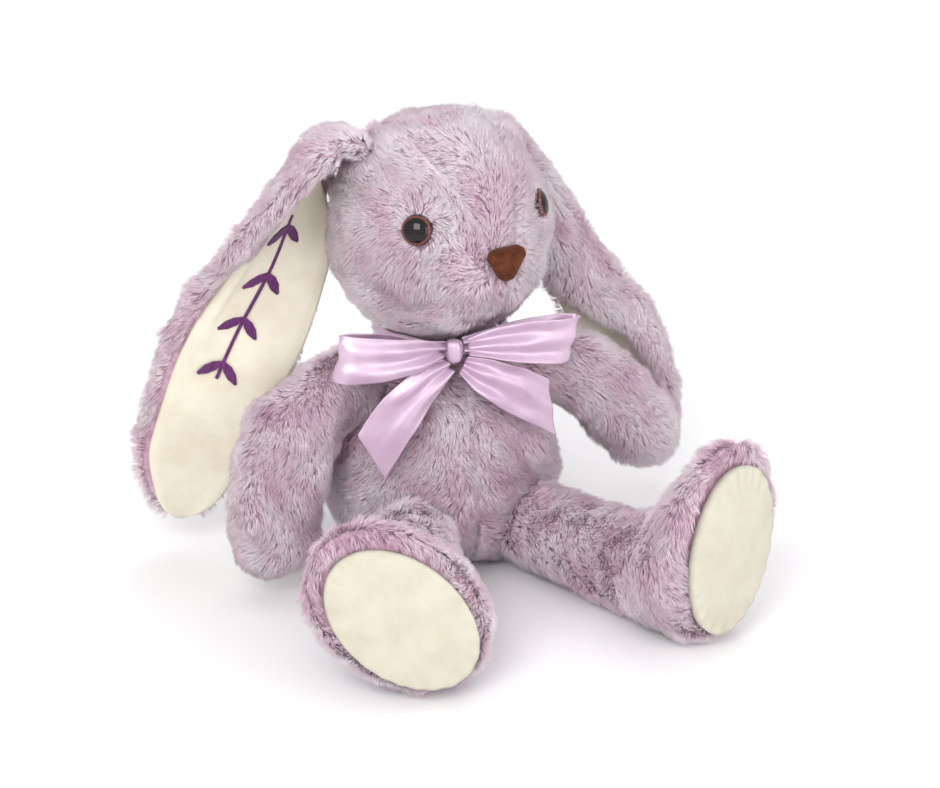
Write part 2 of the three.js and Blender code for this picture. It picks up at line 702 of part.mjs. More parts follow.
// The gusset runs from the nose over the crown and down to the nape, widest at the crown.
function gussetPrism(extra) {
  const [nose, crown, nape] = [GUSSET.nose + extra, GUSSET.crown + extra, GUSSET.nape + extra];
  const { crownFront, crownBack, noseFront, napeBack, reach } = GUSSET;
  const frontHalf = [[nose, -reach], [nose, noseFront], [crown, crownFront], [crown, crownBack]];
  const backHalf = [[crown, crownBack - 1], [nape, napeBack], [nape, reach]];
  const mirrored = (half) => half.map(([x, y]) => [-x, y]).reverse();
  return prism([...frontHalf, ...mirrored(frontHalf)], GUSSET.noseHeight - extra, HUGE)
    .add(prism([...backHalf, ...mirrored(backHalf)], GUSSET.napeHeight - extra, HUGE));
}

// The flat seats and holes that the eyes and nose take out of the head.
function faceSeats() {
  let seats = placed(nosePad(GAP, 0, 20, 0.01), noseFrame);
  EYES.forEach(({ frame }) => {
    seats = seats.add(placed(rod(EYE.radius + GAP, 0, 20), frame));
    seats = seats.add(placed(rod(EYE.post + GAP, -EYE.postLength - GAP, 1), frame));
  });
  return seats;
}

function washerSpaces() {
  const spaces = EYES.map(({ frame }) => {
    const space = rod(WASHER.radius + GAP, -WASHER.depth - WASHER.thick - GAP, 0);
    return placed(space, frame);
  });
  return spaces[0].add(spaces[1]);
}

const headCuts = earSockets().reduce((cuts, socket) => cuts.add(socket), faceSeats());
const headShell = headBody(0).subtract(headBody(PLUSH)).subtract(headCuts);
const [sideRight, sideLeft] = halves(headShell.subtract(gussetPrism(GAP)));
addMesh(head, 'head_side_right', sideRight, COLOURS.plush);
addMesh(head, 'head_side_left', sideLeft, COLOURS.plush);
addMesh(head, 'head_gusset', headShell.intersect(gussetPrism(0)), COLOURS.plushDeep);
const headStuffing = headBody(PLUSH + FILL_GAP).subtract(headCuts).subtract(washerSpaces());
addMesh(head, 'head_stuffing', headStuffing, COLOURS.stuffing);

for (const eye of EYES) {
  const group = new THREE.Group();
  group.applyMatrix4(eye.frame);
  head.add(group);
  addMesh(group, `eye_${eye.name}_cap`, eyeCap(), COLOURS.clear, 0.1);
  addMesh(group, `eye_${eye.name}_iris`, rod(EYE.radius - EYE_WALL - 0.6, ...EYE_IRIS), COLOURS.iris, 0.3);
  addMesh(group, `eye_${eye.name}_post`, eyePost(), COLOURS.black, 0.4);
  addMesh(group, `eye_${eye.name}_washer`, washer(), COLOURS.washer, 0.5);
}
addMesh(head, 'nose_pad', placed(nosePad(0, GAP, NOSE.thick, NOSE.bevel), noseFrame), COLOURS.nose, 0.9);

// ---------------------------------------------------------------- ribbon

// A strip of ribbon. Rows: middle point, direction across, half width.
function strip(rows, perSpan = 2) {
  const middles = new THREE.CatmullRomCurve3(rows.map(([point]) => new THREE.Vector3(...point)));
  const acrosses = new THREE.CatmullRomCurve3(rows.map(([, across]) => new THREE.Vector3(...across)));
  const count = (rows.length - 1) * perSpan;
  const rings = [];
  for (let k = 0; k <= count; k += 1) {
    const spot = k / count;
    const row = Math.min(Math.floor(spot * (rows.length - 1)), rows.length - 2);
    const half = THREE.MathUtils.lerp(rows[row][2], rows[row + 1][2], spot * (rows.length - 1) - row);
    const forward = middles.getTangent(spot);
    const across = acrosses.getPoint(spot).normalize();
    const up = forward.clone().cross(across).normalize().multiplyScalar(RIBBON.thick / 2);
    const edgeAt = (offset) => middles.getPoint(spot).addScaledVector(across, offset);
    const [right, left] = [edgeAt(half), edgeAt(-half)];
    const [rightUnder, leftUnder] = [right, left].map((point) => point.clone().sub(up));
    rings.push([right.add(up), left.add(up), leftUnder, rightUnder]);
  }
  const sumOf = (ring) => ring.reduce((sum, point) => sum.add(point), new THREE.Vector3());
  const centreOf = (ring) => sumOf(ring).divideScalar(ring.length);
  return loft([[centreOf(rings[0])], ...rings, [centreOf(rings.at(-1))]]);
}

const KNOT = new THREE.Vector3(-9, -46, 125);

function bandRing() {
  const middle = new THREE.Vector3(0, 0, BAND.at);
  const disc = (radius, grow) => loft([-1, 1].flatMap((end) => {
    const centre = middle.clone().addScaledVector(Z, end * (BAND.height / 2 + grow));
    const ring = ellipseRing(centre, X, Y, radius, radius);
    return end < 0 ? [[centre], ring] : [ring, [centre]];
  }));
  return disc(BAND.radius + BAND.thick, 0).subtract(disc(BAND.radius, 1));
}

const beside = egg(TORSO, -GAP).add(placed(egg(HEAD, -NECK_CLEARANCE), headFrame));
addMesh(rabbit, 'ribbon_band', bandRing().subtract(beside), COLOURS.ribbon, 0.35);
addMesh(rabbit, 'bow_knot', ellipsoid(KNOT, new THREE.Vector3(6, 4.5, 7)), COLOURS.ribbon, 0.35);

// Right and left are the rabbit's own. Each loop goes out in front and comes back behind.
const BOW = {
  bow_loop_right: [
    [[-17, -49, 126], [0, 0, 1], 4],
    [[-30, -55, 127], [0, 0.1, 1], 7.5],
    [[-50, -58, 127], [0.1, 0.1, 1], 10],
    [[-69, -54, 128], [0.2, 0.1, 1], 12],
    [[-72, -49, 130], [0.2, 0, 1], 12],
    [[-66, -46, 132], [0.1, -0.1, 1], 11],
    [[-45, -48, 130], [0, -0.1, 1], 8],
    [[-30, -48, 128], [0, 0, 1], 5],
    [[-17, -46, 127], [0, 0, 1], 3],
  ],
  bow_loop_left: [
    [[-1, -49, 127], [0, 0, 1], 4],
    [[12, -54, 129], [0, 0.1, 1], 8],
    [[30, -56, 128], [0.1, 0.1, 1], 10.5],
    [[50, -52, 124], [0.3, 0.1, 1], 12.5],
    [[54, -48, 125], [0.3, 0, 1], 12.5],
    [[48, -45, 126], [0.2, -0.1, 1], 11],
    [[28, -47, 128], [0, -0.1, 1], 8],
    [[12, -48, 128], [0, 0, 1], 5],
    [[-1, -46, 127], [0, 0, 1], 3],
  ],
  bow_tail_right: [
    [[-13, -50, 117], [-0.75, 0, 0.65], 4],
    [[-24, -54, 113], [-0.7, 0, 0.7], 9],
    [[-40, -54, 98], [-0.7, 0, 0.7], 12.5],
    [[-57, -50, 74], [-0.42, 0, 0.91], 15],
  ],
  bow_tail_left: [
    [[-4, -50, 117], [0.7, 0, 0.7], 4],
    [[4, -54, 113], [0.6, 0, 0.8], 9],
    [[22, -53, 103], [0.45, 0, 0.9], 12.5],
    [[50, -46, 84], [-0.2, 0, 0.98], 16],
  ],
};
Object.entries(BOW).forEach(([name, rows]) => addMesh(rabbit, name, strip(rows), COLOURS.ribbon, 0.35));

export default rabbit;
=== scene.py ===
"""The looks of a seated plush rabbit with long drooping ears and a satin bow, for Blender 4.5.

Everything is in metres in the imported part's frame: the rabbit faces -Y, its own right is -X, and it
sits on z = 0. Tables of shape are in millimetres around the middle of the seat, and place() brings
them into the frame.
"""

import math

import bmesh
import bpy
import numpy as np
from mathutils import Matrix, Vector
from mathutils.bvhtree import BVHTree
from mathutils.kdtree import KDTree


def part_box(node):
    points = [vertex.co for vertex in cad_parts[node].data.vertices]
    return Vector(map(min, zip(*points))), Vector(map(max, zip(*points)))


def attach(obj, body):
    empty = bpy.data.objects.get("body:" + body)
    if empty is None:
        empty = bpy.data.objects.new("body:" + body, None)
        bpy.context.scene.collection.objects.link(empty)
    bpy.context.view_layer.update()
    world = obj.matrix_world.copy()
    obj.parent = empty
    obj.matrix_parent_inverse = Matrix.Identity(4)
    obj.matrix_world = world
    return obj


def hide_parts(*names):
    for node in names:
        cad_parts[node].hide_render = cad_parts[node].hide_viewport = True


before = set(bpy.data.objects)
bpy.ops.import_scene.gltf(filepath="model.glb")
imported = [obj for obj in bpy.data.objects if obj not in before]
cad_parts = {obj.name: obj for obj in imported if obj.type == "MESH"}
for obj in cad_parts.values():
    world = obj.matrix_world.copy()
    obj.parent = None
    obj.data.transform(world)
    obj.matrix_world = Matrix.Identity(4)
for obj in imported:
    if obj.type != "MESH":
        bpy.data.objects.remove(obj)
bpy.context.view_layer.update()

MM = 0.001
# The middle of the seat in the frame, and the point the camera and the lamps look at, in mm.
ORIGIN = np.array((2.6, 45.1, 0.0))
AIM = Vector((np.array((24.3, 21.8, 71.3)) + ORIGIN) * MM)
SIDES = ("right", "left")

# ---- camera, floor and light

CAMERA_TURN = math.radians(-20)
CAMERA_LIFT = math.radians(22)
CAMERA_FAR = 1.5
LENS = 108.4
FLOOR_SIZE = 30
# name, turn and lift in degrees, distance and size in metres, power in watts
LAMPS = [
    ("key_lamp", -36, 32, 1.6, 0.7, 12),
    ("fill_lamp", 26, 10, 1.8, 1.2, 12),
    ("back_lamp", 150, 50, 1.8, 1.0, 6),
]


def outward(turn, lift):
    """The way from the rabbit at a turn from straight in front and a lift, both in radians."""
    level = math.cos(lift)
    return Vector((math.sin(turn) * level, -math.cos(turn) * level, math.sin(lift)))


def looking_in(name, data, way, far):
    """Puts a camera or a lamp out that way from the point it looks at."""
    obj = bpy.data.objects.new(name, data)
    obj.location = AIM + far * way
    obj.rotation_euler = way.to_track_quat("Z", "Y").to_euler()
    bpy.context.scene.collection.objects.link(obj)
    return obj


def make_camera():
    data = bpy.data.cameras.new("camera")
    data.lens = LENS
    data.clip_end = 60
    way = outward(CAMERA_TURN, CAMERA_LIFT)
    bpy.context.scene.camera = looking_in("camera", data, way, CAMERA_FAR)


def make_lamp(name, turn, lift, far, size, power):
    """A soft square lamp."""
    data = bpy.data.lights.new(name, "AREA")
    data.size = size
    data.energy = power
    looking_in(name, data, outward(math.radians(turn), math.radians(lift)), far)


def make_studio():
    bpy.ops.mesh.primitive_plane_add(size=FLOOR_SIZE)
    floor = bpy.context.object
    floor.name = "floor"
    material, _, _ = new_material(
        "pale_floor", Base_Color=(0.9, 0.9, 0.9, 1), Roughness=0.7, Specular_IOR_Level=0.2,
    )
    floor.data.materials.append(material)

    world = bpy.data.worlds.new("studio")
    world.use_nodes = True
    background = world.node_tree.nodes["Background"]
    background.inputs["Color"].default_value = (1, 0.99, 1, 1)
    background.inputs["Strength"].default_value = 0.9
    bpy.context.scene.world = world
    bpy.context.scene.view_settings.view_transform = "Standard"

    for lamp in LAMPS:
        make_lamp(*lamp)


# ---- numbers on points


def unit(vectors):
    return vectors / np.maximum(np.linalg.norm(vectors, axis=-1, keepdims=True), 1e-12)


def dot(a, b):
    return np.sum(a * b, axis=-1, keepdims=True)


def ramp(value, low, high):
    """0 below low, 1 above high, and smooth between them."""
    part = np.clip((np.asarray(value, float) - low) / (high - low), 0, 1)
    return part * part * (3 - 2 * part)


def waves(points, length, seed, count=14):
    """A smooth random field over points, about -2 to 2, whose lumps are about length across."""
    rng = np.random.default_rng(seed)
    ways = unit(rng.normal(size=(count, 3))) * (np.pi / length) * rng.uniform(0.6, 1.5, (count, 1))
    phases = rng.uniform(0, 2 * np.pi, count)
    return np.sin(points @ ways.T + phases).sum(axis=1) * math.sqrt(2 / count)


def place(points):
    """Millimetres around the middle of the seat, to metres in the frame."""
    return (np.asarray(points, float) + ORIGIN) * MM


# ---- materials


def new_material(name, **settings):
    """A Principled material. settings are its sockets' values, with _ for the spaces in their names."""
    material = bpy.data.materials.new(name)
    material.use_nodes = True
    shader = material.node_tree.nodes["Principled BSDF"]
    for key, value in settings.items():
        shader.inputs[key.replace("_", " ")].default_value = value
    return material, material.node_tree, shader


def noise_node(tree, scale, detail=3.0, roughness=0.5, stretch=None):
    """Noise over the object's own coordinates, whose scale counts lumps to the metre."""
    coordinates = tree.nodes.new("ShaderNodeTexCoord")
    noise = tree.nodes.new("ShaderNodeTexNoise")
    noise.inputs["Scale"].default_value = scale
    noise.inputs["Detail"].default_value = detail
    noise.inputs["Roughness"].default_value = roughness
    source = coordinates.outputs["Object"]
    if stretch:
        mapping = tree.nodes.new("ShaderNodeMapping")
        mapping.inputs["Scale"].default_value = stretch
        tree.links.new(source, mapping.inputs["Vector"])
        source = mapping.outputs["Vector"]
    tree.links.new(source, noise.inputs["Vector"])
    return noise.outputs["Fac"]


def colour_from(tree, shader, factor, stops):
    """Base Color from a factor by a ramp of (place, colour) stops."""
    node = tree.nodes.new("ShaderNodeValToRGB")
    elements = node.color_ramp.elements
    while len(elements) < len(stops):
        elements.new(0.5)
    for element, (spot, colour) in zip(elements, stops):
        element.position = spot
        element.color = (*colour, 1)
    tree.links.new(factor, node.inputs["Fac"])
    tree.links.new(node.outputs["Color"], shader.inputs["Base Color"])


def bump_from(tree, shader, factor, height):
    """Relief of the surface, height in metres."""
    bump = tree.nodes.new("ShaderNodeBump")
    bump.inputs["Distance"].default_value = height
    tree.links.new(factor, bump.inputs["Height"])
    tree.links.new(bump.outputs["Normal"], shader.inputs["Normal"])


def roughness_from(tree, shader, factor, low, high):
    node = tree.nodes.new("ShaderNodeMapRange")
    node.inputs["To Min"].default_value = low
    node.inputs["To Max"].default_value = high
    tree.links.new(factor, node.inputs["Value"])
    tree.links.new(node.outputs["Result"], shader.inputs["Roughness"])


def fabric(name, stops, patches, grain, relief, **settings):
    """Patches of two colours, with a fine grain. patches and grain are noise_node's settings."""
    material, tree, shader = new_material(name, **settings)
    colour_from(tree, shader, noise_node(tree, *patches), stops)
    bump_from(tree, shader, noise_node(tree, *grain), relief)
    return material, tree, shader


def velour(name, deep, pale, patch=45, sheen=0.45):
    """Short even pile, with soft patches where it is brushed and a pale edge light."""
    return fabric(
        name, [(0.3, deep), (0.62, pale)], (patch, 4, 0.6), (1900, 2, 0.7), 0.00025,
        Roughness=0.9, Specular_IOR_Level=0.2, Sheen_Weight=sheen, Sheen_Roughness=0.45,
    )[0]


def backing():
    """The knitted backing of the plush, seen between the fibres."""
    return fabric(
        "plush_backing", [(0.35, (0.42, 0.24, 0.33)), (0.65, (0.62, 0.42, 0.52))],
        (240, 5, 0.7), (1500, 3, 0.6), 0.0004, Roughness=0.95, Specular_IOR_Level=0.1, Sheen_Weight=0.3,
    )[0]


def satin():
    material, tree, shader = fabric(
        "lilac_satin", [(0.3, (0.53, 0.37, 0.50)), (0.7, (0.61, 0.45, 0.58))],
        (70, 3, 0.5), (1400, 2, 0.6, (1, 1, 6)), 0.00006,
        Roughness=0.3, Metallic=0.3, Specular_IOR_Level=0.8, Sheen_Weight=0.15, Sheen_Roughness=0.3,
        Anisotropic=0.5, Coat_Weight=0.35, Coat_Roughness=0.16,
    )
    roughness_from(tree, shader, noise_node(tree, 900, 2, 0.6), 0.22, 0.4)
    return material


def thread():
    return fabric(
        "plum_thread", [(0.3, (0.055, 0.004, 0.06)), (0.7, (0.13, 0.012, 0.14))],
        (900, 2, 0.5, (1, 1, 0.2)), (1600, 1, 0.5, (1, 1, 0.15)), 0.0003,
        Roughness=0.4, Specular_IOR_Level=0.5, Sheen_Weight=0.3, Anisotropic=0.5,
    )[0]


def plastic(name, deep, pale, scale, detail, **settings):
    """A moulded piece, faintly clouded."""
    material, tree, shader = new_material(name, **settings)
    colour_from(tree, shader, noise_node(tree, scale, detail), [(0.3, deep), (0.7, pale)])
    return material


def eye_black():
    return plastic("eye_black_gloss", (0.006, 0.004, 0.006), (0.014, 0.010, 0.013), 500, 2,
                   Roughness=0.03, Specular_IOR_Level=0.3)


def eye_ring():
    return plastic("eye_brown_ring", (0.11, 0.032, 0.022), (0.20, 0.065, 0.045), 1500, 3,
                   Roughness=0.12, Specular_IOR_Level=0.25)


def washer_plastic():
    return plastic("washer_nylon", (0.76, 0.76, 0.73), (0.84, 0.84, 0.80), 200, 2,
                   Roughness=0.5, Subsurface_Weight=0.1)


# The pile's shades, from the deep pink near the backing to the pale tips.
PILE_SHADES = [
    (0.58, 0.35, 0.46),
    (0.66, 0.43, 0.54),
    (0.72, 0.50, 0.61),
    (0.77, 0.57, 0.67),
    (0.81, 0.64, 0.72),
    (0.84, 0.70, 0.77),
    (0.87, 0.76, 0.82),
    (0.89, 0.81, 0.85),
]


def pile_material(index, shade):
    return new_material(
        f"pile_shade_{index}", Base_Color=(*shade, 1), Roughness=0.75, Specular_IOR_Level=0.25,
        Sheen_Weight=0.35, Sheen_Roughness=0.5,
    )[0]


MATERIAL = {
    "backing": backing(),
    "lining": velour("cream_velour", (0.68, 0.63, 0.50), (0.78, 0.735, 0.61)),
    "sole": velour("sole_velour_cream", (0.50, 0.47, 0.375), (0.56, 0.535, 0.44), patch=60, sheen=0.2),
    "nose": velour("brown_velour", (0.055, 0.014, 0.005), (0.125, 0.034, 0.013), patch=170, sheen=0.05),
    "satin": satin(),
    "thread": thread(),
    "black": eye_black(),
    "ring": eye_ring(),
    "washer": washer_plastic(),
}
PILE = [pile_material(index, shade) for index, shade in enumerate(PILE_SHADES)]

# ---- meshes


def smooth_object(name, mesh, materials, indices):
    for material in materials:
        mesh.materials.append(material)
    if indices is not None:
        mesh.polygons.foreach_set("material_index", indices)
    mesh.polygons.foreach_set("use_smooth", [True] * len(mesh.polygons))
    mesh.update(calc_edges=True)
    obj = bpy.data.objects.new(name, mesh)
    bpy.context.scene.collection.objects.link(obj)
    return obj


def new_object(name, verts, faces, materials, indices=None):
    mesh = bpy.data.meshes.new(name)
    mesh.from_pydata([tuple(v) for v in verts], [], faces)
    return smooth_object(name, mesh, materials, indices)


def ring_faces(first, rings, wide):
    """Quads between closed rings of points, each of wide points, from the point numbered first."""
    faces = []
    for start in range(first, first + rings * wide, wide):
        for j in range(wide):
            a, b = start + j, start + (j + 1) % wide
            faces.append((a, a + wide, b + wide, b))
    return faces


def apply_modifiers(obj):
    bpy.context.view_layer.update()
    graph = bpy.context.evaluated_depsgraph_get()
    mesh = bpy.data.meshes.new_from_object(obj.evaluated_get(graph))
    obj.modifiers.clear()
    obj.data = mesh
    mesh.polygons.foreach_set("use_smooth", [True] * len(mesh.polygons))
    return obj


def arrays(obj):
    """Vertices, vertex normals and triangles of a mesh object."""
    mesh = obj.data
    mesh.calc_loop_triangles()
    verts = np.empty(len(mesh.vertices) * 3)
    mesh.vertices.foreach_get("co", verts)
    normals = np.empty(len(mesh.vertices) * 3)
    mesh.vertices.foreach_get("normal", normals)
    tris = np.empty(len(mesh.loop_triangles) * 3, int)
    mesh.loop_triangles.foreach_get("vertices", tris)
    return verts.reshape(-1, 3), normals.reshape(-1, 3), tris.reshape(-1, 3)


def joined_nodes(names):
    """The vertices and triangles of several CAD nodes, as one mesh."""
    verts, faces = [], []
    for name in names:
        points, _, tris = arrays(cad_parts[name])
        faces += (tris + len(verts)).tolist()
        verts += points.tolist()
    return verts, faces


def hull_of(names):
    """The tight wrapping of several CAD nodes."""
    verts, _ = joined_nodes(names)
    form = bmesh.new()
    for point in verts:
        form.verts.new(point)
    bmesh.ops.convex_hull(form, input=form.verts)
    loose = [v for v in form.verts if not v.link_faces]
    bmesh.ops.delete(form, geom=loose, context="VERTS")
    form.verts.index_update()
    verts = [v.co.copy() for v in form.verts]
    faces = [[v.index for v in face.verts] for face in form.faces]
    form.free()
    return verts, faces


def modified(obj, kind, **settings):
    modifier = obj.modifiers.new(kind.lower(), kind)
    for key, value in settings.items():
        setattr(modifier, key, value)


def remeshed(obj, voxel):
    modified(obj, "REMESH", mode="VOXEL", voxel_size=voxel)


def smoothed(obj, rounds):
    modified(obj, "SMOOTH", factor=0.5, iterations=rounds)


def moved_out(obj, distance):
    modified(obj, "DISPLACE", mid_level=0, strength=distance)


CLOTH_VOXEL = 0.004
CLOTH_PRESSURE = 4
CLOTH_FRAMES = 20
CLOTH_QUALITY = 5
LAST_SMOOTHING = 3
# The coarser remesh and the subdivision draw a skin in by about this much.
SUBDIVISION_LOSS = 0.0004


def swollen(skin, most):
    """A short cloth simulation: the filling presses the skin out, and no point moves further than most."""
    remeshed(skin, CLOTH_VOXEL)
    apply_modifiers(skin)
    before = arrays(skin)[0]
    cloth = skin.modifiers.new("cloth", "CLOTH")
    cloth.settings.quality = CLOTH_QUALITY
    cloth.settings.use_pressure = True
    cloth.settings.uniform_pressure_force = CLOTH_PRESSURE
    cloth.settings.effector_weights.gravity = 0
    cloth.collision_settings.use_collision = False
    cloth.point_cache.frame_start = 1
    cloth.point_cache.frame_end = CLOTH_FRAMES
    for step in range(1, CLOTH_FRAMES + 1):
        bpy.context.scene.frame_set(step)
    apply_modifiers(skin)
    shift = arrays(skin)[0] - before
    far = np.linalg.norm(shift, axis=1, keepdims=True)
    after = before + shift * np.minimum(1, most / np.maximum(far, 1e-9))
    skin.data.vertices.foreach_set("co", after.ravel())
    skin.data.update()
    modified(skin, "SUBSURF", levels=1, render_levels=1)
    apply_modifiers(skin)
    bpy.context.scene.frame_set(1)


def skin_from(name, verts, faces, voxel, smooth, inset, swell=0):
    """A smooth closed skin of the backing cloth, set in from the CAD surface by the pile's height."""
    skin = new_object(name, verts, faces, [MATERIAL["backing"]])
    remeshed(skin, voxel)
    smoothed(skin, smooth)
    moved_out(skin, -inset)
    smoothed(skin, LAST_SMOOTHING)
    apply_modifiers(skin)
    if swell:
        moved_out(skin, SUBDIVISION_LOSS)
        apply_modifiers(skin)
        swollen(skin, swell)
    skin.data.materials.clear()
    skin.data.materials.append(MATERIAL["backing"])
    return skin


def press_seam(skin, away, width, depth):
    """Presses a valley into a skin, where away gives the distance of points from the seam."""
    verts, normals, _ = arrays(skin)
    pressed = depth * np.exp(-(away(verts) / width) ** 2)
    skin.data.vertices.foreach_set("co", (verts - normals * pressed[:, None]).ravel())
    skin.data.update()


def tree_of(obj):
    verts, _, tris = arrays(obj)
    return BVHTree.FromPolygons(verts.tolist(), tris.tolist())


def kept_where(allows, trees):
    """1 where allows(tree, point) holds for every one of these surfaces, and 0 elsewhere."""
    def keep(points):
        return np.array([float(all(allows(tree, point) for tree in trees)) for point in points])
    return keep


def clear_of(trees, gap):
    """1 where a point is further than gap from every one of these surfaces."""
    return kept_where(lambda tree, point: tree.find_nearest(point, gap)[0] is None, trees)


def outside_of(trees, depth):
    """0 where a point lies deeper than depth inside one of these closed skins."""
    def allows(tree, point):
        spot, normal, _, away = tree.find_nearest(point)
        return away <= depth or (Vector(point) - spot).dot(normal) >= 0
    return kept_where(allows, trees)


def within(centre, radius):
    """1 near a point, fading to 0 at this distance from it."""
    def keep(points):
        return 1 - ramp(np.linalg.norm(points - centre, axis=1), 0.75 * radius, radius)
    return keep


# ---- pile

FLOOR_CLEARANCE = 0.0015
FLOOR_LEAST = 0.00001
FIBRES_PER_PIECE = 33000
DENSITY = 2.6e6
FIBRE_HALF = 0.00014
# Fibres in a tuft, and how far their bends and tips are drawn to one point.
TUFT = 34
BEND_PULL = 0.18
TIP_PULL = 0.42
BEND_SPREAD = 0.8
TIP_SPREAD = 0.45
# The share of a fibre below its bend, and the steepest it can lie.
BELOW_BEND = 0.42
FLATTEST = math.radians(86)
# How far the combed way wanders. Lumps are the sizes over which the pile's looks change.
SWIRL = 0.54
STRAY = 0.22
SWIRL_LUMP = 0.022
LENGTH_LUMP = 0.012
TILT_LUMP = 0.009
PATCH_LUMPS = (0.026, 0.009)
PATCH_SEEDS = (11, 12)
MIDDLE_SHADE = 4.7


def above_floor(points):
    """Presses what would pass the floor against it."""
    height = points[:, 2]
    pressed = FLOOR_CLEARANCE * np.exp((height - FLOOR_CLEARANCE) / FLOOR_CLEARANCE)
    points[:, 2] = np.where(height < FLOOR_CLEARANCE, np.maximum(pressed, FLOOR_LEAST), height)
    return points


def turned(vectors, axes, angles):
    """Vectors turned about axes that stand square to them."""
    angles = angles[:, None]
    return vectors * np.cos(angles) + np.cross(axes, vectors) * np.sin(angles)


def sample(skin, keep, rng, density):
    """Random points on a skin, with their normals."""
    verts, normals, tris = arrays(skin)
    corners = verts[tris]
    crossed = np.cross(corners[:, 1] - corners[:, 0], corners[:, 2] - corners[:, 0])
    weight = np.linalg.norm(crossed, axis=1) / 2
    for rule in keep:
        weight *= rule(corners.mean(axis=1))
    count = int(weight.sum() * density)
    pick = rng.choice(len(tris), count, p=weight / weight.sum())
    u, v = rng.random((2, count, 1))
    over = u + v > 1
    u, v = np.where(over, 1 - u, u), np.where(over, 1 - v, v)
    shares = np.stack([1 - u - v, u, v], axis=1)
    roots = (corners[pick] * shares).sum(axis=1)
    return roots, unit((normals[tris[pick]] * shares).sum(axis=1))


def drawn_together(roots, mids, tips, rng):
    """Tufts: fibres lean towards the nearest of a few chosen fibres."""
    count = max(len(roots) // TUFT, 1)
    chosen = rng.choice(len(roots), count, replace=False)
    tree = KDTree(count)
    for i, index in enumerate(chosen):
        tree.insert(roots[index], i)
    tree.balance()
    near = chosen[[tree.find(root)[1] for root in roots]]
    side = roots - roots[near]
    mids = mids + BEND_PULL * (mids[near] + BEND_SPREAD * side - mids)
    tips = tips + TIP_PULL * (tips[near] + TIP_SPREAD * side - tips)
    return mids, tips


def spindles(roots, mids, tips, half):
    """Closed slim fibres: a root, three points round the bend, and a tip."""
    count = len(roots)
    along = unit(tips - roots)
    any_way = np.array((0.31, 0.27, 0.91))
    across = unit(np.cross(along, any_way))
    up = np.cross(along, across)
    verts = np.empty((count, 5, 3))
    verts[:, 0] = roots
    verts[:, 4] = tips
    for k in range(3):
        turn = 2 * math.pi * k / 3
        verts[:, k + 1] = mids + half[:, None] * (across * math.cos(turn) + up * math.sin(turn))
    pattern = np.array([(0, 2, 1), (0, 3, 2), (0, 1, 3), (4, 1, 2), (4, 2, 3), (4, 3, 1)])
    faces = (pattern[None] + 5 * np.arange(count)[:, None, None]).reshape(-1, 3)
    return verts.reshape(-1, 3), faces


def triangle_object(name, verts, faces, materials, indices):
    """A mesh object of triangles from arrays, made the fast way."""
    mesh = bpy.data.meshes.new(name)
    mesh.vertices.add(len(verts))
    mesh.vertices.foreach_set("co", verts.ravel())
    mesh.loops.add(faces.size)
    mesh.loops.foreach_set("vertex_index", faces.ravel().astype(np.int32))
    mesh.polygons.add(len(faces))
    mesh.polygons.foreach_set("loop_start", np.arange(0, faces.size, 3, dtype=np.int32))
    return smooth_object(name, mesh, materials, indices.astype(np.int32))


def grow(name, body, skin, flow, keep, length, seed, tone=0.0, lean=(30, 62), density=1.0):
    """Pile over a skin, combed by flow. tone makes it paler; lean is in degrees below and above the bend."""
    rng = np.random.default_rng(seed)
    roots, normals = sample(skin, keep, rng, DENSITY * density)
    count = len(roots)
    way = flow(roots)
    way = unit(way - normals * dot(way, normals))
    swirled = SWIRL * waves(roots, SWIRL_LUMP, seed + 1) + rng.normal(0, STRAY, count)
    way = turned(way, normals, swirled)
    long = length * (0.8 + 0.3 * rng.random(count) + 0.1 * waves(roots, LENGTH_LUMP, seed + 2))[:, None]
    tilt = np.radians(rng.normal(0, 7, count) + 8 * waves(roots, TILT_LUMP, seed + 3))[:, None]
    low, high = (np.clip(math.radians(angle) + tilt, 0, FLATTEST) for angle in lean)
    mids = roots + BELOW_BEND * long * (normals * np.cos(low) + way * np.sin(low))
    tips = mids + (1 - BELOW_BEND) * long * (normals * np.cos(high) + way * np.sin(high))
    mids, tips = drawn_together(roots, mids, tips, rng)
    half = FIBRE_HALF * rng.uniform(0.75, 1.3, count)

    big, small = (waves(roots, lump, patch_seed) for lump, patch_seed in zip(PATCH_LUMPS, PATCH_SEEDS))
    shade = MIDDLE_SHADE + tone + (big + 0.8 * small) + rng.normal(0, 0.6, count)
    tip_shade = np.clip(np.rint(shade), 0, len(PILE) - 1).astype(int)
    root_shade = np.clip(tip_shade - 1, 0, len(PILE) - 1)
    shades = np.stack([root_shade] * 3 + [tip_shade] * 3, axis=1).ravel()

    verts, faces = spindles(roots, mids, tips, half)
    verts = above_floor(verts)
    parts = -(-count // FIBRES_PER_PIECE)
    order = np.argsort(roots[:, 1], kind="stable")
    for part in range(parts):
        chosen = order[part * count // parts:(part + 1) * count // parts]
        points = verts.reshape(-1, 5, 3)[chosen].reshape(-1, 3)
        pattern = faces[:6 * len(chosen)]
        indices = shades.reshape(-1, 6)[chosen].ravel()
        label = name if parts == 1 else f"{name}_{part + 1}"
        pile = triangle_object(label, points, pattern, PILE, indices)
        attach(pile, body)


# ---- ears

# How far from its end an ear starts to round off.
EAR_TIP = 36
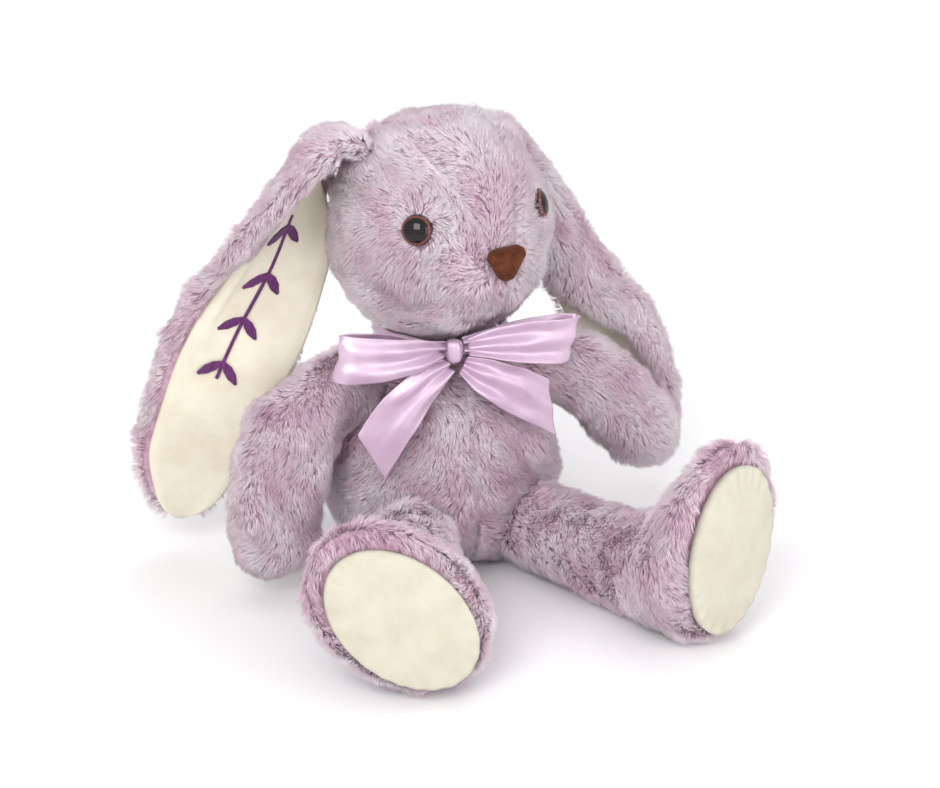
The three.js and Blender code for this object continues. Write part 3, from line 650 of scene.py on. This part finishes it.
# Each ear follows a line from its root. fur_side is the way its pile looks along that line. Rows:
# distance, half widths on both sides of the line, how far each side curls in degrees, and the fold.
# The first side curls evenly, and the second only as far as the fold, past which it is straight.
EARS = {
    "right": {
        "root": (-38, -2, 221),
        "line": [
            (0, 0, 0), (-12, 0, 10), (-27, 3, 7), (-43, 9, -22), (-54, 18, -58),
            (-67, 27, -92), (-80, 33, -128), (-90, 38, -164), (-95, 41, -203),
        ],
        "fur_side": [
            (-0.3, 0, 1), (-0.2, 0.1, 1), (-0.5, 0.3, 0.8), (-0.6, 0.7, 0.4), (-0.3, 0.95, 0.1),
            (0.1, 1, 0.1), (0.25, 1, 0), (0.25, 1, 0), (0.25, 1, 0),
        ],
        "rows": [
            (0, 10, 12, 15, 15, 12), (14, 17, 18, 28, 32, 18), (32, 28, 30, 36, 46, 30),
            (58, 33, 34, 36, 40, 34), (95, 38, 33, 26, 22, 33), (140, 40, 30, 18, 16, 30),
            (185, 36, 27, 14, 12, 27), (215, 31, 27, 12, 12, 27), (240, 27, 24, 12, 12, 24),
        ],
        "lining_face": -8.5,
        "lining_ridge": 1.3,
        "lining_margins": [
            (0, 4, 36), (45, 2, 40), (62, 0, 36), (82, -1, 25), (104, -1, 13), (190, -1, 8), (240, -1, 7),
        ],
    },
    "left": {
        "root": (30.5, 6, 221),
        "line": [
            (0, 0, 0), (12.5, 4, -5), (24, 10, -20.5), (38, 10, -39), (53.5, 11, -63.5), (68.5, 10, -85.5),
            (85.5, 11, -105.5), (100, 13, -125), (108, 15, -145), (112.5, 16, -165), (113.5, 18, -183),
            (112.5, 20, -200),
        ],
        "fur_side": [
            (-0.07, -0.48, 0.88), (0.15, -0.6, 0.79), (0.27, -0.69, 0.67), (0.29, -0.7, 0.65),
            (0.29, -0.71, 0.64), (0.27, -0.69, 0.68), (0.37, -0.6, 0.71), (0.57, -0.55, 0.61),
            (0.75, -0.53, 0.4), (0.86, -0.47, 0.19), (0.88, -0.47, 0.01), (0.87, -0.5, -0.05),
        ],
        "rows": [
            (0, 12, 12, 20, 20, 12), (14, 17, 17, 28, 35, 17), (35, 25, 30, 40, 100, 22),
            (60, 31, 42, 48, 140, 26), (95, 34, 46, 50, 145, 27), (125, 26, 52, 50, 140, 26),
            (150, 19, 56, 50, 128, 24), (185, 16, 50, 45, 112, 22), (215, 14, 44, 40, 105, 20),
            (240, 12, 38, 40, 100, 20),
        ],
        "lining_face": -7.2,
        "lining_ridge": 0,
        "lining_margins": [(0, 6, 3), (240, 6, 2)],
    },
}


def smooth_curve(points, steps=900):
    """A centripetal Catmull-Rom curve through points, as evenly timed samples."""
    points = np.asarray(points, float)
    ends = np.vstack([2 * points[0] - points[1], points, 2 * points[-1] - points[-2]])
    found = []
    for t in np.linspace(0, len(points) - 1, steps):
        i = min(int(t), len(points) - 2)
        a, b, c, d = ends[i:i + 4]
        spans = [max(np.linalg.norm(q - p) ** 0.5, 1e-4) for p, q in ((a, b), (b, c), (c, d))]
        one = (b - a) / spans[0] - (c - a) / (spans[0] + spans[1]) + (c - b) / spans[1]
        two = (c - b) / spans[1] - (d - b) / (spans[1] + spans[2]) + (d - c) / spans[2]
        one, two, w = one * spans[1], two * spans[1], t - i
        found.append(b + one * w + (3 * (c - b) - 2 * one - two) * w * w + (2 * (b - c) + one + two) * w ** 3)
    return np.array(found)


def table_at(rows, distance):
    """Reads rows of (distance, value...) with smooth steps between them: one column for each value."""
    rows = np.asarray(rows, float)
    distance = np.clip(np.asarray(distance, float), rows[0, 0], rows[-1, 0])
    i = np.clip(np.searchsorted(rows[:, 0], distance, side="left") - 1, 0, len(rows) - 2)
    part = ramp((distance - rows[i, 0]) / (rows[i + 1, 0] - rows[i, 0]), 0, 1)[..., None]
    return np.moveaxis(rows[i, 1:] * (1 - part) + rows[i + 1, 1:] * part, -1, 0)


class EarSurface:
    """Gives points by distance along the ear, distance across it and height to its pile side, in mm."""

    def __init__(self, ear):
        self.line = smooth_curve(np.array(ear["line"], float) + ear["root"])
        self.facing = smooth_curve(ear["fur_side"])
        steps = np.linalg.norm(np.diff(self.line, axis=0), axis=1)
        self.run = np.concatenate([[0], np.cumsum(steps)])
        self.length = self.run[-1]
        self.rows = ear["rows"]
        self.forward = unit(np.gradient(self.line, axis=0))

    def _read(self, values, distance):
        return np.stack([np.interp(distance, self.run, values[:, k]) for k in range(3)], axis=-1)

    def axes(self, distance):
        forward = unit(self._read(self.forward, distance))
        out = self._read(self.facing, distance)
        out = unit(out - forward * dot(out, forward))
        return forward, out, np.cross(out, forward)

    def at(self, distance, across, height):
        _, out, side = self.axes(distance)
        near, _, near_curl, far_curl, fold = table_at(self.rows, distance)
        bend = np.radians(np.where(across < 0, near_curl / near, far_curl / fold))
        turn = bend * np.minimum(across, fold)
        straight = np.maximum(across - fold, 0)
        reach = np.sin(turn) / bend + straight * np.cos(turn) + height * np.sin(turn)
        rise = (np.cos(turn) - 1) / bend - straight * np.sin(turn) + height * np.cos(turn)
        return self._read(self.line, distance) + side * reach[..., None] + out * rise[..., None]


def ear_edges(ear, end, distance, margins=(0, 0)):
    """The ear's two edges at distances along it, rounded off towards the tip."""
    near, far, *_ = table_at(ear["rows"], distance)
    from_tip = np.clip((end - distance) / EAR_TIP, 0, 1)
    rounded = np.maximum(np.sqrt(1 - (1 - from_tip) ** 2), 0.12)
    return -(near - margins[0]) * rounded, (far - margins[1]) * rounded


def closed_sheet(name, surface, distances, edges, low, high, wide, material):
    """A closed sheet laid on an ear, whose two faces are at heights low and high, or functions of place."""
    count = len(distances)
    shares = np.linspace(0, 1, wide)
    along = np.repeat(distances[:, None], wide, axis=1)
    across = edges[0][:, None] * (1 - shares) + edges[1][:, None] * shares
    layers = []
    for height in (high, low):
        value = height(along, across, shares[None]) if callable(height) else np.full(along.shape, height)
        layers.append(surface.at(along, across, value).reshape(-1, 3))
    verts = place(np.vstack(layers))
    under = count * wide
    faces = []
    for k in range(count - 1):
        for j in range(wide - 1):
            a, b, c, d = k * wide + j, (k + 1) * wide + j, (k + 1) * wide + j + 1, k * wide + j + 1
            faces += [(a, b, c, d), (under + a, under + d, under + c, under + b)]
        a, b = k * wide, (k + 1) * wide
        faces.append((a, under + a, under + b, b))
        a, b = a + wide - 1, b + wide - 1
        faces.append((b, under + b, under + a, a))
    last = (count - 1) * wide
    for j in range(wide - 1):
        faces.append((j + 1, under + j + 1, under + j, j))
        a, b = last + j, last + j + 1
        faces.append((a, under + a, under + b, b))
    return new_object(name, verts, faces, [material])


# Steps along and across each layer, the heights of its faces, and its ends, in mm.
EAR_SKIN_INSET = 3.2
EAR_SKIN_STEPS = (90, 26)
EAR_SKIN_BACK = -5.0
EAR_SKIN_FACE = -0.8
LINING_START = 36
LINING_TIP = 2.0
LINING_STEPS = (110, 34)
LINING_BACK = -4.6
LINING_PUFF = 0.9
LINING_HEM = 1.3
# The crease down the lining: how far across the ear it starts, how it drifts, and its half width.
CREASE_ACROSS = 17
CREASE_FROM = 60
CREASE_DRIFT = 0.06
CREASE_HALF = 2.6


def lining_face(ear):
    """The height of the lining's open face, puffed up inside its hem, with a crease along it."""
    def face(along, across, share):
        hem = ramp(np.minimum(share, 1 - share), 0, 0.10)
        spots = np.stack([along, across, 0 * along], -1).reshape(-1, 3)
        puff = LINING_PUFF * hem + 0.35 * waves(spots, 24, 31).reshape(along.shape)
        aside = across - CREASE_ACROSS + CREASE_DRIFT * (along - CREASE_FROM)
        ridge = np.exp(-(aside / CREASE_HALF) ** 2) * ramp(along, 44, 70) * (1 - ramp(along, 118, 165))
        return ear["lining_face"] + LINING_HEM - puff - ear["lining_ridge"] * ridge
    return face


def ear_pieces(side):
    """The ear's backing skin and its lining."""
    ear = EARS[side]
    surface = EarSurface(ear)
    end = surface.length - EAR_SKIN_INSET
    steps, wide = EAR_SKIN_STEPS
    distances = np.linspace(0, end, steps)
    low, high = ear_edges(ear, end, distances)
    edges = (low + EAR_SKIN_INSET, high - EAR_SKIN_INSET)
    skin = closed_sheet(f"ear_{side}_skin", surface, distances, edges,
                        EAR_SKIN_BACK, EAR_SKIN_FACE, wide, MATERIAL["backing"])

    end = surface.length - LINING_TIP
    steps, wide = LINING_STEPS
    distances = np.linspace(LINING_START, end, steps)
    low, high = ear_edges(ear, end, distances, table_at(ear["lining_margins"], distances))
    opened = ramp(distances, LINING_START - 12, LINING_START + 40)
    edges = (low * opened, high * opened)
    lining = closed_sheet(f"ear_{side}_lining_cloth", surface, distances, edges,
                          lining_face(ear), LINING_BACK, wide, MATERIAL["lining"])
    return surface, skin, lining


# ---- face

EYE_RADIUS = 7.9
EYE_WALL = 1.0
EYE_DOME = 4.4
EYE_SINK = {"right": 0.4, "left": 3.0}
PUPIL = 6.1
IRIS_EDGE = 7.2
DOME_RINGS = 26
DOME_WIDE = 56


def eye_axis(side):
    """The middle of an eye's base and the way it looks."""
    cap, post = (arrays(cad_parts[f"eye_{side}_{part}"])[0] for part in ("cap", "post"))
    way = unit(cap.mean(axis=0) - post.mean(axis=0))
    base = dot(cap, way).min()
    centre = cap.mean(axis=0)
    return centre + way * (base - (centre * way).sum()), way


def dome_profile():
    """Rows of radius and height, from an eye's rim to its crown."""
    rows = [(EYE_RADIUS, 0), (EYE_RADIUS, EYE_WALL * 0.5), (EYE_RADIUS - 0.15, EYE_WALL)]
    for angle in np.radians(np.linspace(6, 90, DOME_RINGS)):
        rows.append(((EYE_RADIUS - 0.2) * math.cos(angle), EYE_WALL + EYE_DOME * math.sin(angle)))
    return rows


def make_eyes():
    """Glossy domes: a black pupil, a brown ring and a thin black rim."""
    profile = dome_profile()
    wide = DOME_WIDE
    for side in SIDES:
        base, way = eye_axis(side)
        base = base - way * EYE_SINK[side] * MM
        right = unit(np.cross(way, np.array((0, 0, 1.0))))
        up = np.cross(right, way)
        verts = [base]
        for radius, height in profile:
            for k in range(wide):
                turn = 2 * math.pi * k / wide
                out = right * math.cos(turn) + up * math.sin(turn)
                verts.append(base + (out * max(radius, 0.01) + way * height) * MM)
        verts.append(base + way * (EYE_WALL + EYE_DOME) * MM)
        last = len(verts) - 1
        faces = [(0, 1 + (k + 1) % wide, 1 + k) for k in range(wide)]
        faces += [face[::-1] for face in ring_faces(1, len(profile) - 1, wide)]
        faces += [(last - wide + k, last - wide + (k + 1) % wide, last) for k in range(wide)]
        zones = [0] * wide
        for (outer, _), (inner, _) in zip(profile, profile[1:]):
            zones += [int(PUPIL < (outer + inner) / 2 < IRIS_EDGE)] * wide
        zones += [0] * wide
        dome = new_object(f"eye_{side}_dome", verts, faces, [MATERIAL["black"], MATERIAL["ring"]], zones)
        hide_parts(f"eye_{side}_cap", f"eye_{side}_iris")
        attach(dome, "head")


def make_nose():
    """A pad of velour, rounder than its CAD node."""
    pad = skin_from("nose_velour", *joined_nodes(["nose_pad"]), *SKIN["nose"])
    pad.data.materials.clear()
    pad.data.materials.append(MATERIAL["nose"])
    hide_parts("nose_pad")
    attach(pad, "head")


SOLE_CROWN = 2.6
SOLE_BACK = 2.0
SOLE_HEM = 0.0002
SOLE_RINGS = 26
SOLE_WIDE = 120
PUCKERS = 23
PUCKER_DEPTH = 0.45


def sole_rise(share, turn):
    """How far a sole stands over its rim, in mm: a crown, soft lumps, and puckers near the seam."""
    pucker = PUCKER_DEPTH * ramp(share, 0.72, 0.94) * math.sin(PUCKERS * turn + 2 * math.sin(3 * turn))
    lump = 0.35 * math.sin(6 * share * math.cos(turn) + 1.3) * math.sin(4.4 * share * math.sin(turn))
    return float(SOLE_CROWN * (1 - share ** 2.4) + pucker * share + lump * (1 - share))


def make_sole(side):
    """A crowned oval of velour on the foot, with a few soft puckers round its seam."""
    body = f"leg_{side}"
    points = arrays(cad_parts[f"{body}_sole"])[0]
    centre = points.mean(axis=0)
    _, _, axes = np.linalg.svd(points - centre, full_matrices=False)
    long, short, out = axes
    if ((centre - centre_of(f"{body}_stuffing")) * out).sum() < 0:
        out = -out
    halves = np.abs((points - centre) @ axes[:2].T).max(axis=0) + SOLE_HEM
    top = ((points - centre) @ out).max()

    def rim(turn):
        return long * halves[0] * math.cos(turn) + short * halves[1] * math.sin(turn)

    wide = SOLE_WIDE
    turns = [2 * math.pi * j / wide for j in range(wide)]
    verts = [centre + out * (top + SOLE_CROWN * MM)]
    for k in range(1, SOLE_RINGS + 1):
        share = k / SOLE_RINGS
        verts += [centre + rim(turn) * share + out * (top + sole_rise(share, turn) * MM) for turn in turns]
    back = centre + out * (top - 2 * SOLE_BACK * MM)
    verts += [back + rim(turn) * 0.985 for turn in turns]
    verts.append(back)
    last = len(verts) - 1
    faces = [(0, 1 + j, 1 + (j + 1) % wide) for j in range(wide)]
    faces += ring_faces(1, SOLE_RINGS, wide)
    faces += [(last, last - wide + (j + 1) % wide, last - wide + j) for j in range(wide)]
    pad = new_object(f"{body}_sole_pad", verts, faces, [MATERIAL["sole"]])
    form = bmesh.new()
    form.from_mesh(pad.data)
    bmesh.ops.recalc_face_normals(form, faces=form.faces)
    form.to_mesh(pad.data)
    form.free()
    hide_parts(f"{body}_sole")
    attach(pad, body)
    return pad


# ---- ribbon

RIBBON_WIDTH = 25.0
RIBBON_THICK = 0.35
PLEATS = 2.0
RIBBON_SAMPLES = 240
RIBBON_STEP = 1.4
RIBBON_WIDE = 37
# Rows: the middle of the ribbon, the way across it, and half the width it shows there.
BOW = {
    "bow_loop_right": [
        ((-16, -48, 126), (0, 0, 1), 4.5), ((-30, -54.5, 127.5), (0, 0.1, 1), 8.5),
        ((-50, -57.5, 129), (0.1, 0.1, 1), 11), ((-67, -54, 130), (0.2, 0.1, 1), 12),
        ((-71, -49.5, 130.5), (0.2, 0, 1), 12), ((-65, -47, 131), (0.1, -0.1, 1), 11.5),
        ((-45, -47, 130), (0, -0.1, 1), 9), ((-30, -47.5, 128), (0, 0, 1), 6),
        ((-14, -46, 127), (0, 0, 1), 4),
    ],
    "bow_loop_left": [
        ((-2, -48, 127), (0, 0, 1), 4.5), ((12, -53.5, 129), (0, 0.1, 1), 8.5),
        ((30, -55.5, 128), (0.1, 0.1, 1), 11), ((49, -52, 125), (0.3, 0.1, 1), 12),
        ((54, -48.5, 125), (0.3, 0, 1), 12), ((47, -45, 126), (0.2, -0.1, 1), 11.5),
        ((28, -46, 128), (0, -0.1, 1), 9), ((12, -47, 128), (0, 0, 1), 6), ((-4, -46, 127), (0, 0, 1), 4),
    ],
    "bow_tail_right": [
        ((-12, -49, 118), (-0.75, 0, 0.65), 4.5), ((-24, -53.5, 113), (-0.7, 0, 0.7), 9),
        ((-40, -53.5, 98), (-0.7, 0.1, 0.7), 12), ((-58, -50, 70), (-0.5, 0.1, 0.86), 12.3),
    ],
    "bow_tail_left": [
        ((-5, -49, 118), (0.7, 0, 0.7), 4.5), ((4, -53.5, 113), (0.6, 0, 0.8), 9),
        ((22, -52.5, 102), (0.45, 0.1, 0.9), 12), ((51, -46, 83), (0.0, 0.1, 0.98), 12.3),
    ],
}
# How much of its length each tail loses towards one corner.
SLANTS = {"bow_tail_right": 0.10, "bow_tail_left": 0.14}
KNOT_AT = np.array((-9, -46.5, 125))
KNOT_SIZE = np.array((4.7, 4.4, 6.0))
KNOT_RINGS = 28
KNOT_WIDE = 60
# The stretch of band that is drawn forward, in radians, and how far behind the knot it ends, in mm.
BAND_PULL = 0.5
BAND_BEHIND_KNOT = 3.0
BAND_INSET = 1.2
BAND_STEPS = 180
BAND_TALL = 15


def satin_sheet(name, verts, faces, node):
    """A length of ribbon from its middle surface."""
    obj = new_object(name, verts, faces, [MATERIAL["satin"]])
    modified(obj, "SOLIDIFY", thickness=RIBBON_THICK * MM, offset=0)
    apply_modifiers(obj)
    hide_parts(node)
    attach(obj, "torso")


def make_ribbon(name, rows, seed):
    """A loop or tail of the bow, pleated where it is gathered. The end of a tail is cut at a slant."""
    slanted = SLANTS.get(name, 0)
    points = smooth_curve([row[0] for row in rows], RIBBON_SAMPLES)
    across = smooth_curve([row[1] for row in rows], RIBBON_SAMPLES)
    run = np.concatenate([[0], np.cumsum(np.linalg.norm(np.diff(points, axis=0), axis=1))])
    length = run[-1]
    spots = np.linspace(0, len(rows) - 1, RIBBON_SAMPLES)
    half = np.interp(spots, range(len(rows)), [row[2] for row in rows])
    forward = unit(np.gradient(points, axis=0))
    across = unit(across - forward * dot(across, forward))
    up = np.cross(forward, across)

    def at(reach, values):
        return np.array([np.interp(reach, run, values[:, i]) for i in range(3)])

    steps = int(length / RIBBON_STEP)
    wide = RIBBON_WIDE
    verts = []
    for k in range(steps + 1):
        for share in np.linspace(-1, 1, wide):
            reach = length * k / steps * (1 - slanted * (1 + share) * k / steps)
            centre, side, out = (at(reach, values) for values in (points, across, up))
            width = np.interp(reach, run, half)
            fold = math.sqrt(max(RIBBON_WIDTH ** 2 - (2 * width) ** 2, 0)) / (4 * PLEATS)
            swing = share + 0.12 * math.sin(seed + 0.05 * reach)
            wave = 0.62 * fold * math.cos(math.pi * PLEATS * swing)
            soft = 0.54 * math.sin(0.11 * reach + 2.1 * share + seed)
            soft += 0.3 * math.sin(0.23 * reach - 3 * share)
            verts.append(centre + side * width * share + out * (wave + soft * min(reach / 20, 1)))
    faces = []
    for k in range(steps):
        for a in range(k * wide, (k + 1) * wide - 1):
            faces.append((a, a + wide, a + wide + 1, a + 1))
    satin_sheet(name + "_ribbon", place(np.array(verts)), faces, name)


def make_knot():
    """The wrapped middle of the bow: a small plump roll with creases down its front."""
    verts = []
    for k in range(KNOT_RINGS + 1):
        rise = math.pi * k / KNOT_RINGS
        for j in range(KNOT_WIDE):
            turn = 2 * math.pi * j / KNOT_WIDE
            crease = 1 - 0.09 * abs(math.sin(2.5 * turn + 0.5 * math.cos(rise))) - 0.03 * math.sin(7 * turn)
            reach = math.sin(rise) ** 0.55 * crease
            height = math.copysign(abs(math.cos(rise)) ** 0.8, math.cos(rise))
            out = np.array((reach * math.cos(turn), reach * math.sin(turn), height))
            verts.append(KNOT_AT + KNOT_SIZE * out)
    faces = ring_faces(0, KNOT_RINGS, KNOT_WIDE)
    obj = new_object("bow_knot_wrap", place(np.array(verts)), faces, [MATERIAL["satin"]])
    modified(obj, "WELD", merge_threshold=0.02 * MM)
    apply_modifiers(obj)
    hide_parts("bow_knot")
    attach(obj, "torso")


def make_band():
    """The ribbon round the neck, a little crushed, and drawn forward into the knot."""
    low, high = (np.array(corner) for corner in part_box("ribbon_band"))
    centre = (low + high) / 2
    radii = (high - low)[:2] / 2 - BAND_INSET * MM
    half_height = (high[2] - low[2]) / 2
    knot = place(KNOT_AT) - centre
    front = math.atan2(knot[1], knot[0])
    pull = math.hypot(knot[0], knot[1]) - BAND_BEHIND_KNOT * MM - radii.mean()
    verts, faces = [], []
    for j in range(BAND_STEPS):
        turn = 2 * math.pi * j / BAND_STEPS
        aside = math.remainder(turn - front, 2 * math.pi)
        drawn = math.exp(-(aside / BAND_PULL) ** 2)
        gathered = (0.96 + 0.04 * math.sin(5 * turn)) * (1 - 0.35 * drawn)
        following = (j + 1) % BAND_STEPS
        for k in range(BAND_TALL):
            share = 2 * k / (BAND_TALL - 1) - 1
            crush = 0.7 * math.sin(2.2 * math.pi * share + 0.8 * math.sin(3 * turn))
            crush += 0.4 * math.sin(9 * turn + share)
            reach = (radii + crush * MM + pull * drawn) * (math.cos(turn), math.sin(turn))
            height = share * half_height * gathered + knot[2] * drawn
            verts.append(centre + (*reach, height))
        for k in range(BAND_TALL - 1):
            a, b = j * BAND_TALL + k, following * BAND_TALL + k
            faces.append((a, b, b + 1, a + 1))
    satin_sheet("neck_ribbon", verts, faces, "ribbon_band")


def make_bow():
    make_knot()
    make_band()
    for seed, (name, rows) in enumerate(BOW.items()):
        make_ribbon(name, rows, seed)


# ---- making everything


SWELL = 0.0015
# For each skin: the remesh's voxel, rounds of smoothing, how far it is set in, and how far it may swell.
SKIN = {
    "torso": (0.003, 8, 0.0045, SWELL),
    "tail": (0.0015, 6, 0.004, 0),
    "head": (0.0025, 8, 0.0042, SWELL),
    "arm": (0.0022, 8, 0.0042, SWELL),
    "leg": (0.0022, 8, 0.0045, SWELL),
    "nose": (0.0008, 5, -0.0002, 0),
}
# Half width and depth of the valleys that the seams press.
BELLY_SEAM = (0.0032, 0.0035)
HEAD_SEAM = (0.0026, 0.0022)
HEAD_AT = (-2, -4, 178)
HEAD_TURN = math.radians(14)
# Half widths of the head's centre strip by height over the head's middle, in mm.
GUSSET = [(-60, 3), (-12, 5), (10, 9), (30, 16), (46, 21), (60, 24)]


def nodes_of(start):
    return [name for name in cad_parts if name.startswith(start)]


def belly_distance(points):
    return points[:, 0] - ORIGIN[0] * MM


def gusset_distance(points):
    """How far points are from the nearer edge of the head's centre strip."""
    local = (points - place(HEAD_AT)) / MM
    side = local[:, 0] * math.cos(HEAD_TURN) + local[:, 1] * math.sin(HEAD_TURN)
    half = np.interp(local[:, 2], *zip(*GUSSET))
    return (np.abs(side) - half) * MM


def make_skins():
    """The backing skins. forms has each one's body, its form and the nodes it replaces."""
    torso = nodes_of("torso_")
    tail = ["tail_cover", "tail_stuffing"]
    head = ["head_side_right", "head_side_left", "head_gusset", "head_stuffing"]
    forms = {
        "torso": ("torso", hull_of(torso), [*torso, "seat_pellet_bag"]),
        "tail": ("torso", joined_nodes(tail), tail),
        "head": ("head", hull_of(head), head),
    }
    for side in SIDES:
        for body in (f"arm_{side}", f"leg_{side}"):
            nodes = [name for name in nodes_of(body) if not name.endswith("sole")]
            forms[body] = (body, joined_nodes(nodes), nodes)
    seams = {"torso": (belly_distance, *BELLY_SEAM), "head": (gusset_distance, *HEAD_SEAM)}
    skins = {}
    for name, (body, form, nodes) in forms.items():
        skin = skin_from(f"{name}_skin", *form, *SKIN[name.split("_")[0]])
        if name in seams:
            press_seam(skin, *seams[name])
        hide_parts(*nodes)
        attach(skin, body)
        skins[name] = skin
    return skins


def paint_nodes():
    """Node materials for the CAD nodes that stay."""
    finishes = {"post": ("black", "eye_black"), "washer": ("washer", "eye_washer")}
    kept = {f"eye_{side}_{part}": finish for side in SIDES for part, finish in finishes.items()}
    kept["ear_right_embroidery"] = ("thread", "embroidery_thread")
    for name, (material, slot) in kept.items():
        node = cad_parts[name]
        node.data.materials.clear()
        node.data.materials.append(MATERIAL[material])


def centre_of(node):
    low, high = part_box(node)
    return np.array((low + high) / 2)


def head_flow(roots):
    """Away from the nose and the eyes."""
    nose = centre_of("nose_pad")
    way = unit(roots - nose) + np.array((0, 0.1, -0.25))
    for side in SIDES:
        away = roots - centre_of(f"eye_{side}_cap")
        near = 1 - ramp(np.linalg.norm(away, axis=1, keepdims=True), 0.008, 0.022)
        way = way + 2.2 * near * unit(away)
    return way


def torso_flow(roots):
    """Down, and out to the sides."""
    return np.array((0, 0, -1.0)) + np.sign(roots[:, :1] - ORIGIN[0] * MM) * np.array((0.25, 0, 0))


def flow_to(target, drop):
    """Towards a point, and down by drop."""
    def flow(roots):
        return unit(target - roots) - np.array((0, 0, drop))
    return flow


def ear_flow(surface):
    """Along the ear, and out from its line."""
    line = place(surface.line)

    def flow(roots):
        near = np.argmin(((roots[:, None] - line[None, ::12]) ** 2).sum(-1), axis=1) * 12
        forward = surface.forward[near]
        out = roots - line[near]
        out = out - forward * dot(out, forward)
        return forward + 0.7 * unit(out)
    return flow


# Each pile's length in metres and its seed.
PILES = {
    "head": (0.0078, 101), "torso": (0.009, 102), "tail": (0.009, 103), "neck": (0.015, 113),
    "arm_right": (0.0088, 103), "arm_left": (0.0088, 105),
    "leg_right": (0.0088, 106), "leg_left": (0.0088, 108),
    "ear_root_right": (0.0105, 119), "ear_root_left": (0.0105, 118),
    "ear_right": (0.0085, 125), "ear_left": (0.0085, 124),
}
# No pile grows nearer than this to a bare piece, or deeper than this inside another skin.
EYE_CLEAR = {"right": 0.0035, "left": 0.003}
NOSE_CLEAR = 0.0022
LINING_CLEAR = 0.0022
SOLE_CLEAR = 0.0045
SHALLOW = 0.002
BURIED = 0.003
HEAD_BURIED = 0.004
NECK_AT = (0, 0, 122)
NECK_REACH = 0.046
EAR_ROOT_REACH = 0.022
# How far the point that an arm's pile is combed to lies inside, in front of and below the hand.
HAND = 0.02
HAND_FRONT = 0.01


def hand_of(side):
    low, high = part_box(f"arm_{side}_outer")
    across = low.x + HAND if side == "right" else high.x
    return np.array((across, (low.y + high.y) / 2 - HAND_FRONT, low.z - HAND_FRONT))


def make_pile(skins, trees, soles):
    off_torso = outside_of([trees["torso"]], BURIED)
    bare = [clear_of([tree_of(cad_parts[f"eye_{side}_cap"])], EYE_CLEAR[side]) for side in SIDES]
    bare.append(clear_of([tree_of(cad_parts["nose_pad"])], NOSE_CLEAR))
    grow("head_pile", "head", skins["head"], head_flow,
         [*bare, outside_of([trees["torso"]], HEAD_BURIED)], *PILES["head"], tone=0.5)
    others = [tree for name, tree in trees.items() if name not in ("torso", "tail")]
    grow("torso_pile", "torso", skins["torso"], torso_flow, [outside_of(others, BURIED)], *PILES["torso"])
    grow("neck_pile", "torso", skins["torso"], torso_flow,
         [within(place(NECK_AT), NECK_REACH), outside_of([trees["head"]], SHALLOW)], *PILES["neck"],
         tone=-0.2, lean=(12, 40))
    for side in SIDES:
        root = place(EARS[side]["root"])
        flow = flow_to(root + np.array((0, 0, 0.01)), 0)
        grow(f"ear_root_pile_{side}", "head", skins["head"], flow, [within(root, EAR_ROOT_REACH)],
             *PILES[f"ear_root_{side}"], tone=0.2, lean=(20, 48))
    grow("tail_pile", "torso", skins["tail"], torso_flow, [outside_of([trees["torso"]], SHALLOW)],
         *PILES["tail"])
    for side in SIDES:
        arm = f"arm_{side}"
        grow(f"{arm}_pile", arm, skins[arm], flow_to(hand_of(side), 0.2), [off_torso], *PILES[arm])
        leg = f"leg_{side}"
        toe = centre_of(f"{leg}_sole") + np.array((0, -0.03, 0))
        rules = [off_torso, clear_of([soles[side]], SOLE_CLEAR)]
        # The legs' pile is made darker by tone -0.3: painted shade, standing in for the shade the legs sit
        # in.
        grow(f"{leg}_pile", leg, skins[leg], flow_to(toe, 0.2), rules, *PILES[leg], tone=-0.3)


def make_ears(head_tree):
    for side in SIDES:
        body = f"ear_{side}"
        surface, skin, lining = ear_pieces(side)
        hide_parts(f"{body}_back")
        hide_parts(f"{body}_lining")
        for piece, name in ((skin, "plush_fur"), (lining, "ear_velour")):
            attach(piece, body)
        rules = [clear_of([tree_of(lining)], LINING_CLEAR), outside_of([head_tree], SHALLOW)]
        grow(f"{body}_pile", body, skin, ear_flow(surface), rules, *PILES[body], tone=0.2, density=1.1)


make_camera()
make_studio()
SKINS = make_skins()
TREES = {name: tree_of(skin) for name, skin in SKINS.items()}
paint_nodes()
make_eyes()
make_nose()
SOLES = {side: tree_of(make_sole(side)) for side in SIDES}
make_pile(SKINS, TREES, SOLES)
make_ears(TREES["head"])
make_bow()
